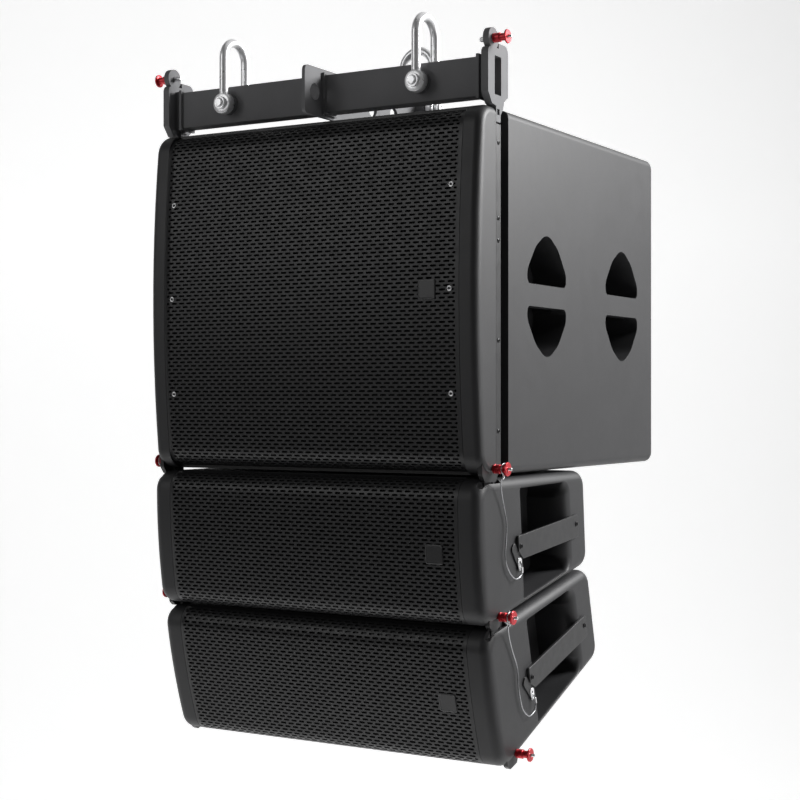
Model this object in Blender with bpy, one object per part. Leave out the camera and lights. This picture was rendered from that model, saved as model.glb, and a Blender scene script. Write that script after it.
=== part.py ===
"""Line array speaker: a flybar on three shackles, a subwoofer cabinet and two line array modules hung under it.

Lengths are in millimetres. X is to the right seen from the front, Y goes to the back, Z is up.
The origin is the centre of the crossbar, between the bolts of the two front shackles.
Each module is drawn in its own frame: origin on its top pins, turned about X by its splay.
"""

import math

import bmesh
import bpy
from mathutils import Matrix, Vector

MM = 0.001

# Cabinet sides, and the rigging layers inside them, as distances from the middle plane
HALF_WIDTH = 310.0
SKIN = 307.2
OUTER_EAR = (299.3, 306.7)
INNER_EAR = (291.0, 298.7)
CHANNEL_IN = 290.5
CHANNEL_MID = 299.0
PIN_END = 287.0

# Splay and pins
SPLAY_1 = 5.0
SPLAY_2 = 10.0
WEDGE = 5.0
PIN_PITCH = 227.0
SUB_PIN = (-15.0, -597.0)
FLYBAR_PIN = (-15.0, 55.0)
PIN_RADIUS = 4.0
PIN_HOLE = 4.4
PIN_TRAVEL = 30.0

# Subwoofer cabinet
SUB_TOP = -46.0
SUB_BOTTOM = -607.0
SUB_BACK = 643.0
SUB_FRONT = -69.0
SUB_BOW = 2300.0
SUB_EDGE = 13.0
SUB_MIDDLE = (SUB_TOP + SUB_BOTTOM) / 2
SUB_BAFFLE = (-30.0, -8.0)
SUB_GRILLE_HALF = 279.0
SUB_GRILLE_DROP = 5.0
SLOT_BACK = 35.0
STRIP = (-6.5, 8.5)
HANDLE_CENTRES = (175.5, 489.0)
HANDLE_FLOOR = 250.0
HANDLE_BRIDGE = 285.0

# Line array module, in its own frame
MODULE_TOP = -15.0
MODULE_BOTTOM = -236.0
MODULE_BACK = 342.0
MODULE_FRONT = -54.0
MODULE_BOW = 1000.0
MODULE_EDGE = 17.0
MODULE_MIDDLE = (MODULE_TOP + MODULE_BOTTOM) / 2
MODULE_BAFFLE = (-20.0, -4.0)
MODULE_GRILLE_HALF = 273.0
RECESS = ((86, -42), (274, -56), (274, -200), (86, -217))
RECESS_FLOOR = 240.0
HANDLE_BAR = ((65, -113), (293, -113), (293, -151), (80, -151), (65, -137))
HANDLE_BAR_X = (310.4, 315.4)
ANCHOR_TAB = ((45, -131), (57, -121), (84, -162), (72, -172))
ANCHOR_EYE = (70, -155)
WOOFER_X = 178.0
LINK_PIVOT = (300.0, -62.0)
LINK_WIDTH = 20.0
LINK_RISE = (88.0, 100.0)

# Flybar
TUBE = (-16.0, 14.0, -30.0, 30.0)
TUBE_WALL = 3.0
TUBE_END = 283.0
SPINE_HALF = 3.0
SPINE = ((-69, -38), (345, -38), (345, 40), (-69, 40))
PICK_HOLES = (-40.0, 68.0, 138.0, 208.0)
PLATE = (298.0, 310.0)
SHACKLE_X = 184.0
REAR_SHACKLE = (298.0, 24.0)
SHACKLE_ROD = 7.5
SHACKLE_LEG = 30.0
SHACKLE_RISE = 105.0
SHACKLE_EYE = 17.3

# Gap left between pieces that touch, and gap round the grilles
GAP = 0.4
GRILLE_SHEET = 3.0

# Routes of the safety lanyards in the frame of the module that they hang on: distance out, back, up
LANYARD_RADIUS = 1.0
LANYARD_LOOP = 8.7
LANYARD_LOOP_X = 327.5
LANYARD_1 = (
    (325.0, 2.0, -12.5),
    (321.0, 3.0, -17.0),
    (317.0, 9.2, -34.8),
    (315.0, 19.0, -57.7),
    (314.0, 28.0, -86.9),
    (314.0, 24.7, -112.6),
    (314.0, 19.4, -134.9),
    (314.0, 23.1, -151.0),
    (314.5, 32.2, -165.1),
    (315.5, 41.6, -173.8),
    (316.5, 49.7, -177.6),
    (317.0, 60.4, -176.4),
    (317.0, 67.9, -171.5),
    (316.0, 71.0, -163.0),
    (315.0, 70.0, -156.0),
)
LANYARD_2 = (
    (324.5, 2.5, -12.5),
    (321.0, 4.0, -16.0),
    (318.0, 7.5, -24.0),
    (315.0, 13.9, -43.2),
    (314.0, 20.7, -66.0),
    (314.0, 28.0, -89.4),
    (314.0, 28.5, -109.5),
    (314.0, 25.4, -128.1),
    (314.0, 28.7, -159.9),
    (315.0, 35.1, -174.6),
    (316.5, 44.0, -183.6),
    (317.0, 56.3, -185.1),
    (317.0, 66.3, -181.9),
    (316.5, 71.6, -170.6),
    (315.0, 70.5, -158.0),
)


def new_material(name, colour, metallic, roughness):
    material = bpy.data.materials.new(name)
    material.use_nodes = True
    shader = material.node_tree.nodes["Principled BSDF"]
    shader.inputs["Base Color"].default_value = (*colour, 1.0)
    shader.inputs["Metallic"].default_value = metallic
    shader.inputs["Roughness"].default_value = roughness
    material.diffuse_color = (*colour, 1.0)
    return material


def mesh_object(name, points, faces):
    """A closed mesh from points in millimetres, with its faces turned outwards."""
    mesh = bpy.data.meshes.new(name)
    mesh.from_pydata([Vector(p) * MM for p in points], [], faces)
    shape = bmesh.new()
    shape.from_mesh(mesh)
    bmesh.ops.recalc_face_normals(shape, faces=shape.faces)
    shape.to_mesh(mesh)
    shape.free()
    obj = bpy.data.objects.new(name, mesh)
    bpy.context.scene.collection.objects.link(obj)
    return obj


def combine(target, others, operation):
    """Joins the other objects to the target, or cuts them from it, and removes them."""
    group = bpy.data.collections.new(operation)
    bpy.context.scene.collection.children.link(group)
    for other in others:
        group.objects.link(other)
    modifier = target.modifiers.new(operation, "BOOLEAN")
    modifier.operation = operation
    modifier.solver = "EXACT"
    modifier.operand_type = "COLLECTION"
    modifier.collection = group
    bpy.context.view_layer.update()
    graph = bpy.context.evaluated_depsgraph_get()
    result = bpy.data.meshes.new_from_object(target.evaluated_get(graph))
    target.modifiers.clear()
    target.data = result
    for other in others:
        bpy.data.objects.remove(other)
    bpy.data.collections.remove(group)
    return target


def cut(target, *others):
    return combine(target, others, "DIFFERENCE")


def join(target, *others):
    return combine(target, others, "UNION")


def keep(target, *others):
    return combine(target, others, "INTERSECT")


def rounded(corners, radii, steps=4):
    """The outline with an arc of each radius at its corner. A radius of 0 leaves the corner sharp."""
    outline = []
    for i, corner in enumerate(corners):
        here = Vector(corner)
        before = (Vector(corners[i - 1]) - here).normalized()
        after = (Vector(corners[(i + 1) % len(corners)]) - here).normalized()
        if not radii[i]:
            outline.append(tuple(here))
            continue
        half = before.angle(after) / 2
        centre = here + (before + after).normalized() * radii[i] / math.sin(half)
        start = here + before * radii[i] / math.tan(half) - centre
        sweep = start.angle_signed(here + after * radii[i] / math.tan(half) - centre)
        for step in range(steps + 1):
            turn = Matrix.Rotation(-sweep * step / steps, 2)
            outline.append(tuple(centre + turn @ start))
    return outline


def prism(name, outline, x0, x1):
    """A plate of this outline, as (y, z) points, from x0 to x1."""
    count = len(outline)
    points = [(x, y, z) for x in (x0, x1) for y, z in outline]
    faces = [tuple(range(count)), tuple(range(count, 2 * count))]
    faces += [(i, (i + 1) % count, count + (i + 1) % count, count + i) for i in range(count)]
    return mesh_object(name, points, faces)


def box(name, x0, x1, y0, y1, z0, z1):
    return prism(name, ((y0, z0), (y1, z0), (y1, z1), (y0, z1)), x0, x1)


def loft(name, rings):
    """A solid through rings of the same number of points, closed at both ends."""
    count = len(rings[0])
    points = [point for ring in rings for point in ring]
    faces = [tuple(range(count)), tuple(range(len(points) - count, len(points)))]
    for start in range(0, len(points) - count, count):
        for i in range(count):
            after = (i + 1) % count
            faces.append((start + i, start + after, start + count + after, start + count + i))
    return mesh_object(name, points, faces)


def turned(name, profile, axis, centre, steps=24, ring=False):
    """A turned solid. The profile is (along, radius) pairs, and a ring's profile closes on itself off the axis."""
    points = []
    rows = []
    for along, radius in profile:
        row = []
        for step in range(steps if radius else 1):
            angle = 2 * math.pi * (step + 0.5) / steps
            across = (radius * math.cos(angle), radius * math.sin(angle))
            place = {"X": (along, *across), "Y": (across[0], along, across[1]), "Z": (*across, along)}[axis]
            row.append(len(points))
            points.append(tuple(c + p for c, p in zip(centre, place)))
        rows.append(row)
    faces = []
    pairs = list(zip(rows, rows[1:]))
    if ring:
        pairs.append((rows[-1], rows[0]))
    for first, second in pairs:
        for i in range(steps):
            after = (i + 1) % steps
            corners = [first[i % len(first)], first[after % len(first)]]
            corners += [second[after % len(second)], second[i % len(second)]]
            faces.append(tuple(dict.fromkeys(corners)))
    return mesh_object(name, points, [face for face in faces if len(face) > 2])


def rod(name, axis, centre, start, end, radius, steps=16):
    return turned(name, ((start, 0), (start, radius), (end, radius), (end, 0)), axis, centre, steps)


def swept(name, path, radius, steps=10):
    """A round bar along the path."""
    path = [Vector(p) for p in path]
    rings = []
    across = None
    for i, point in enumerate(path):
        along = (path[min(i + 1, len(path) - 1)] - path[max(i - 1, 0)]).normalized()
        if across is None:
            across = along.orthogonal().normalized()
        across = (across - along * across.dot(along)).normalized()
        other = along.cross(across)
        angles = [2 * math.pi * step / steps for step in range(steps)]
        rings.append([tuple(point + radius * (math.cos(a) * across + math.sin(a) * other)) for a in angles])
    return loft(name, rings)


def line_corner(first, second, radius):
    """Centre of the arc between two sides, each (normal, distance along that normal)."""
    (n1, d1), (n2, d2) = first, second
    det = n1[0] * n2[1] - n1[1] * n2[0]
    return Vector((((d1 - radius) * n2[1] - (d2 - radius) * n1[1]) / det, ((d2 - radius) * n1[0] - (d1 - radius) * n2[0]) / det))


def nose_corner(side, nose, bow, radius):
    """Centre of the arc between a side and the bowed front."""
    normal, distance = Vector(side[0]), side[1] - radius
    offset = distance - normal.dot(nose)
    along = Vector((-normal.y, normal.x))
    reach = math.sqrt((bow - radius) ** 2 - offset ** 2)
    first, second = nose + normal * offset + along * reach, nose + normal * offset - along * reach
    return first if first.x < second.x else second


def side_profile(top, bottom, back, front, bow, middle, front_radius, back_radius, inset=0.0, wedge=0.0):
    """Side view of a cabinet as (y, z) points: bowed front, straight top, bottom and back, rounded corners."""
    lean = math.radians(wedge)
    up = ((math.sin(lean), math.cos(lean)), top * math.cos(lean))
    down = ((math.sin(lean), -math.cos(lean)), -bottom * math.cos(lean))
    rear = ((1.0, 0.0), back)
    nose = Vector((front + bow, middle))
    corners = (
        (line_corner(up, rear, back_radius), Vector(rear[0]), Vector(up[0]), back_radius),
        (nose_corner(up, nose, bow, front_radius), Vector(up[0]), None, front_radius),
        (nose_corner(down, nose, bow, front_radius), None, Vector(down[0]), front_radius),
        (line_corner(down, rear, back_radius), Vector(down[0]), Vector(rear[0]), back_radius),
    )
    outline = []
    for place, (centre, start, end, radius) in enumerate(corners):
        outward = (centre - nose).normalized()
        first = math.atan2(*(start or outward).yx)
        last = math.atan2(*(end or outward).yx)
        turn = (last - first) % (2 * math.pi)
        for step in range(5):
            angle = first + turn * step / 4
            outline.append(tuple(centre + (radius - inset) * Vector((math.cos(angle), math.sin(angle)))))
        if place == 1:
            low = corners[2][0] - nose
            angles = (math.atan2(outward.y, outward.x), math.atan2(low.y, low.x))
            sweep = (angles[1] - angles[0]) % (2 * math.pi)
            for step in range(1, 6):
                angle = angles[0] + sweep * step / 6
                outline.append(tuple(nose + (bow - inset) * Vector((math.cos(angle), math.sin(angle)))))
    return outline


def sub_profile(inset=0.0, drop=0.0):
    return side_profile(SUB_TOP - drop, SUB_BOTTOM + drop, SUB_BACK, SUB_FRONT, SUB_BOW, SUB_MIDDLE, 35, 18, inset)


def module_profile(inset=0.0):
    return side_profile(
        MODULE_TOP, MODULE_BOTTOM, MODULE_BACK, MODULE_FRONT, MODULE_BOW, MODULE_MIDDLE, 32, 28, inset, WEDGE
    )


def cabinet(name, profile, edge):
    """A cabinet body of this side profile, its edges to the two side faces rounded."""
    rings = []
    for side in (-1, 1):
        steps = range(4) if side < 0 else range(3, -1, -1)
        for step in steps:
            angle = math.pi / 2 * (1 - step / 3)
            x = side * (HALF_WIDTH - edge + edge * math.sin(angle))
            rings.append([(x, y, z) for y, z in profile(edge * (1 - math.cos(angle)))])
    return loft(name, rings)


def front_band(profile, half, reach, depth_from):
    """What the grille's recess takes from a cabinet: all that lies outside the profile, back to depth_from."""
    band = box("band", -half, half, -120, depth_from, reach[0], reach[1])
    return cut(band, prism("core", profile, -half - 5, half + 5))


def grille_panel(name, outer, inner, half, reach, depth_from):
    """A sheet panel that follows the front of its cabinet and wraps a little over its top and bottom."""
    panel = prism(name, outer, -half, half)
    keep(panel, box("front", -half - 5, half + 5, -120, depth_from, reach[0] - 5, reach[1] + 5))
    return cut(panel, prism("inside", inner, -half - 5, half + 5))


def woofer_frame(name, centre, hole, flange, front, depth, magnet):
    """Basket, magnet and pole of a cone loudspeaker. front is the baffle's face."""
    back = front + depth
    profile = (
        (back, 0),
        (back, magnet),
        (front + depth * 0.6, magnet),
        (front + 12, hole - 2),
        (front - GAP, hole - 2),
        (front - GAP, flange),
        (front - GAP - 5, flange),
        (front - GAP - 5, hole - 5),
        (front + 9, hole - 5),
        (front + depth * 0.56, hole * 0.26),
        (back - 8, hole * 0.26),
        (back - 8, hole * 0.17),
        (front + depth * 0.5, hole * 0.17),
        (front + depth * 0.5, 0),
    )
    return turned(name, profile, "Y", centre, 20)


def woofer_cone(name, centre, hole, front, depth):
    """Surround, cone, dust cap and voice coil, one moving piece."""
    coil = hole * 0.215
    rim = front - GAP - 6
    profile = (
        (front + depth * 0.18, 0),
        (front + depth * 0.26, coil - 2),
        (rim, hole * 0.82),
        (rim - 3, hole * 0.89),
        (rim, hole - 6),
        (rim + 1.8, hole - 6),
        (rim - 1, hole * 0.89),
        (rim + 3, hole * 0.82 - 1),
        (front + depth * 0.34, coil + 1),
        (front + depth * 0.72, coil + 1),
        (front + depth * 0.72, coil - 1),
        (front + depth * 0.26 + 3, coil - 1),
        (front + depth * 0.18 + 3, 0),
    )
    return turned(name, profile, "Y", centre, 20)


def place(obj, material, origin=(0, 0, 0), parent=None):
    """Gives the object its material, its origin and its parent, and shades its round faces smooth."""
    obj.data.transform(Matrix.Translation(-Vector(origin) * MM))
    obj.location = Vector(origin) * MM
    obj.parent = parent
    obj.data.materials.clear()
    obj.data.materials.append(material)
    obj.data.shade_smooth()
    obj.data.set_sharp_from_angle(angle=math.radians(31))
    return obj


def own(name, base):
    """A material of the node's own, a copy of the base material."""
    material = base.copy()
    material.name = name
    return material


def shackle(tag, centre, along_y):
    """Bow and bolt of a shackle. The bow swings about the bolt."""
    crown = SHACKLE_RISE - SHACKLE_LEG
    path = [(SHACKLE_LEG, 0.0, 0.0), (SHACKLE_LEG, 0.0, crown - 4)]
    for step in range(1, 10):
        angle = math.pi * step / 10
        path.append((SHACKLE_LEG * math.cos(angle), 0.0, crown + SHACKLE_LEG * math.sin(angle)))
    path += [(-SHACKLE_LEG, 0.0, crown - 4), (-SHACKLE_LEG, 0.0, 0.0)]
    bow = swept("shackle_" + tag + "_bow", path, SHACKLE_ROD)
    eyes = [rod("eye", "X", (s * SHACKLE_LEG, 0, 0), -7.5, 7.5, SHACKLE_EYE, 20) for s in (-1, 1)]
    join(bow, *eyes)
    cut(bow, rod("bore", "X", (0, 0, 0), -60, 60, 8.4))
    profile = ((-47, 0), (-47, 10.5), (-37.9, 10.5), (-37.9, 8), (37.9, 8), (37.9, 12), (47, 12), (47, 0))
    bolt = turned("shackle_" + tag + "_bolt", profile, "X", (0, 0, 0), 16)
    for obj in (bow, bolt):
        if along_y:
            obj.data.transform(Matrix.Rotation(math.pi / 2, 4, "Z"))
        obj.data.transform(Matrix.Translation(Vector(centre) * MM))
        place(obj, own(obj.name, GALVANISED), centre)


def quick_pin(tag, side, centre, parent=None):
    """A ball lock pin that pulls straight out sideways, and the button in its head."""
    where = (0, *centre)
    body = (
        (PIN_END, 0),
        (PIN_END, PIN_RADIUS),
        (HALF_WIDTH + GAP, PIN_RADIUS),
        (HALF_WIDTH + GAP, 7.25),
        (322, 7.25),
        (322, 5.75),
        (332, 5.75),
        (332, 10.65),
        (335, 10.65),
        (335, 2.9),
        (324, 2.9),
        (324, 0),
    )
    button = ((328.5, 0), (328.5, 2.5), (341, 2.5), (341, 0))
    for name, profile, material in (("", body, RED), ("_button", button, STEEL)):
        obj = turned("pin_" + tag + name, [(side * x, r) for x, r in profile], "X", where, 14)
        place(obj, own(obj.name, material), (side * HALF_WIDTH, *centre), parent)


def smooth_route(points, spacing):
    """Points a spacing apart along a smooth curve through the given points."""
    points = [Vector(p) for p in points]
    dense = []
    for i in range(len(points) - 1):
        a, b = points[max(i - 1, 0)], points[i]
        c, d = points[i + 1], points[min(i + 2, len(points) - 1)]
        for step in range(24):
            t = step / 24
            dense.append(
                0.5 * (2 * b + (c - a) * t + (2 * a - 5 * b + 4 * c - d) * t ** 2 + (3 * b - a - 3 * c + d) * t ** 3)
            )
    dense.append(points[-1])
    lengths = [(q - p).length for p, q in zip(dense, dense[1:])]
    count = max(2, round(sum(lengths) / spacing))
    route = [dense[0]]
    travelled = 0.0
    for point, length in zip(dense[1:], lengths):
        travelled += length
        if travelled >= len(route) * sum(lengths) / count and len(route) < count:
            route.append(point)
    route.append(dense[-1])
    return route


def lanyard(name, route, side, parent):
    """A steel wire with a loop round the neck of a pin, run down to the anchor tab on the handle bar."""
    loop = []
    for step in range(11):
        angle = math.radians(-30 + 26 * step)
        across = (LANYARD_LOOP * math.cos(angle), LANYARD_LOOP * math.sin(angle))
        loop.append((LANYARD_LOOP_X, *across))
    points = [Vector(p) for p in loop[:-1]] + smooth_route((loop[-1], *route), 8)
    curve = bpy.data.curves.new(name, "CURVE")
    curve.dimensions = "3D"
    curve.bevel_depth = LANYARD_RADIUS * MM
    curve.bevel_resolution = 2
    curve.use_fill_caps = True
    spline = curve.splines.new("POLY")
    spline.points.add(len(points) - 1)
    for target, point in zip(spline.points, points):
        target.co = (side * point.x * MM, point.y * MM, point.z * MM, 1.0)
    obj = bpy.data.objects.new(name, curve)
    bpy.context.scene.collection.objects.link(obj)
    obj.parent = parent
    curve.materials.append(own(name, GALVANISED))


def flybar():
    beam = prism("flybar_beam", rounded(SPINE, (8, 8, 10, 10)), -SPINE_HALF, SPINE_HALF)
    y0, y1, z0, z1 = TUBE
    extra = []
    for side in (-1, 1):
        extra.append(box("tube", side * 2, side * TUBE_END, y0, y1, z0, z1))
        extra.append(box("inner flange", side * 2, side * 8, y0 - 4, y1 + 4, z0 - 4, z1 + 4))
        extra.append(box("outer flange", side * (TUBE_END - 1), side * 287, y0 - 4, y1 + 4, z0 - 4, z1 + 4))
        extra.append(box("sleeve", side * 286, side * (PLATE[0] - GAP), y0 + 2, y1 - 1, z0 - 2, z1 + 3))
        boss = (side * SHACKLE_X, (y0 + y1) / 2, 0)
        extra.append(rod("boss", "Y", boss, -22, 22, 17))
    extra.append(rod("rear boss", "X", (0, *REAR_SHACKLE), -22, 22, 17))
    join(beam, *extra)
    cuts = []
    for side in (-1, 1):
        cuts.append(box("hollow", side * 8.5, side * 320, y0 + 4.5, y1 - 3.5, z0 + 2, z1 - 2))
        cuts.append(rod("bolt hole", "Y", (side * SHACKLE_X, 0, 0), -60, 60, 8.4))
    cuts.append(rod("rear bolt hole", "X", (0, *REAR_SHACKLE), -60, 60, 8.4))
    cuts += [rod("pick hole", "X", (0, y, 0), -20, 20, 13) for y in PICK_HOLES]
    cut(beam, *cuts)
    place(beam, own("flybar_beam", STEEL))
    for side, tag in ((-1, "left"), (1, "right")):
        corners = (
            (34, 50), (2, 50), (2, 42), (-33, 42), (-33, -27), (-20, -44), (-7, SUB_TOP + GAP), (STRIP[0], SUB_TOP + GAP),
            (STRIP[0], -70), (STRIP[1], -70), (STRIP[1], -58), (17, -48), (20.6, -37), (27, -32), (34, -28),
        )
        radii = (12, 0, 0, 10, 0, 0, 0, 0, 2, 2, 0, 0, 0, 0, 0)
        plate = prism("flybar_side_plate_" + tag, rounded(corners, radii), side * PLATE[0], side * PLATE[1])
        lobe = rod("lobe", "X", (0, *FLYBAR_PIN), side * 300, side * PLATE[1], 16.5, 20)
        tongue = box("tongue", side * 293, side * 301.7, *STRIP, -110, -36)
        join(plate, lobe, tongue)
        window = prism("window", rounded(((-11.5, -29), (10.5, -29), (10.5, 30), (-11.5, 30)), (2, 2, 2, 2)), side * 280, side * 330)
        cut(
            plate,
            window,
            rod("pin hole", "X", (0, *FLYBAR_PIN), side * 280, side * 330, PIN_HOLE),
            box("slot hole", side * 303, side * 330, -3, 5, -59, -50),
            rod("screw hole", "X", (0, 1, -101), side * 280, side * 330, 3),
        )
        place(plate, own(plate.name, STEEL))
    middle = (TUBE[0] + TUBE[1]) / 2
    shackle("front_left", (-SHACKLE_X, middle, 0), True)
    shackle("front_right", (SHACKLE_X, middle, 0), True)
    shackle("rear", (0, *REAR_SHACKLE), False)


def handle_pocket(centre, side):
    """Two openings with a bridge between them to grip, hollow behind the bridge."""
    half = ((73, -308), (74, -287), (43, -247.5))
    upper = [(centre + y, z) for y, z in half] + [(centre, -222)] + [(centre - y, z) for y, z in reversed(half)]
    lower = [(y, 2 * -325.75 - z) for y, z in upper]
    radii = (10, 25, 60, 38, 60, 25, 10)
    parts = [prism("pocket", rounded(outline, radii), side * HANDLE_FLOOR, side * 315) for outline in (upper, lower)]
    return parts + [box("behind bridge", side * HANDLE_FLOOR, side * HANDLE_BRIDGE, centre - 70, centre + 70, -350, -300)]


def subwoofer():
    body = cabinet("sub_cabinet", sub_profile, SUB_EDGE)
    reach = (SUB_BOTTOM - 20, SUB_TOP + 20)
    y, z = SUB_PIN
    ear = ((-6.5, -556), (8.5, -556), (8.5, -600), (0, z - 20), (y - 22, z - 20), (y - 31, z - 8), (y - 31, z + 18))
    ear_round = rounded(ear, (0, 0, 4, 4, 6, 6, 8))
    ear_room = rounded(
        ((-7.2, -555), (9.2, -555), (9.2, -640), (y - 32, -640), (y - 32, z + 19)), (0, 0, 0, 0, 8)
    )
    cuts = [
        front_band(sub_profile(GRILLE_SHEET + GAP, SUB_GRILLE_DROP), SUB_GRILLE_HALF + 0.6, reach, -25),
        box("front chamber", -270, 270, -100, SUB_BAFFLE[0], SUB_BOTTOM + 18, SUB_TOP - 18),
        box("front cavity", -278, 278, SUB_BAFFLE[1], 80, SUB_BOTTOM + 18, SUB_TOP - 18),
        box("rear cavity", -236, 236, 75, SUB_BACK - 18, SUB_BOTTOM + 18, SUB_TOP - 18),
        rod("woofer hole", "Y", (0, 0, SUB_MIDDLE), -60, 20, 212, 32),
        box("connector hole", -75, 75, 600, 660, -420, -300),
    ]
    for side in (-1, 1):
        cuts.append(box("rigging groove", side * 292.5, side * 315, -7, SLOT_BACK, -640, 0))
        cuts.append(prism("ear pocket", ear_room, side * CHANNEL_MID, side * SKIN))
        cuts.append(box("inner ear pocket", side * CHANNEL_IN, side * (CHANNEL_MID + 0.5), y - 18, y + 18, -640, z + 20))
        cuts.append(rod("pin hole", "X", (0, y, z), side * (PIN_END - 0.6), side * 315, 4.6))
        for centre in HANDLE_CENTRES:
            cuts += handle_pocket(centre, side)
    cut(body, *cuts)
    join(body, box("link housing", -14, 14, 258, 318, SUB_BOTTOM + 2, -520))
    cut(body, box("link socket", -5, 5, 266, 306, SUB_BOTTOM - 20, -528))
    place(body, own("sub_cabinet", BLACK))

    panel = grille_panel(
        "sub_grille",
        sub_profile(0, SUB_GRILLE_DROP),
        sub_profile(GRILLE_SHEET, SUB_GRILLE_DROP),
        SUB_GRILLE_HALF,
        reach,
        -26,
    )
    place(panel, own("sub_grille", BLACK))
    woofer = (0, 0, SUB_MIDDLE)
    place(woofer_frame("sub_woofer_frame", woofer, 210, 231, SUB_BAFFLE[0], 190, 105), own("sub_woofer_frame", STEEL))
    place(
        woofer_cone("sub_woofer_cone", woofer, 210, SUB_BAFFLE[0], 190),
        own("sub_woofer_cone", PAPER),
        (0, SUB_BAFFLE[0], SUB_MIDDLE),
    )
    plate = box("sub_connector_panel", -75 + GAP, 75 - GAP, SUB_BACK - 6, SUB_BACK - 1, -420 + GAP, -300 - GAP)
    sockets = [rod("socket", "Y", (x, 0, -345), SUB_BACK - 30, SUB_BACK + 1, 15, 14) for x in (-35, 35)]
    join(plate, *sockets)
    cut(plate, *[rod("socket hole", "Y", (x, 0, -345), SUB_BACK - 22, SUB_BACK + 9, 11.5, 14) for x in (-35, 35)])
    place(plate, own("sub_connector_panel", STEEL))

    for side, tag in ((-1, "left"), (1, "right")):
        bar = box("sub_rigging_bar_" + tag, side * 302, side * HALF_WIDTH, *STRIP, -602, -73)
        backing = box("backing", side * 293, side * 303, *STRIP, -560, -114)
        join(bar, backing, prism("ear", ear_round, side * OUTER_EAR[0], side * OUTER_EAR[1]))
        holes = [rod("pin hole", "X", (0, y, z), side * 280, side * 330, PIN_HOLE)]
        holes += [rod("screw hole", "X", (0, 1, -101), side * 280, side * 330, 3)]
        cut(bar, *holes)
        place(bar, own(bar.name, STEEL))


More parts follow.
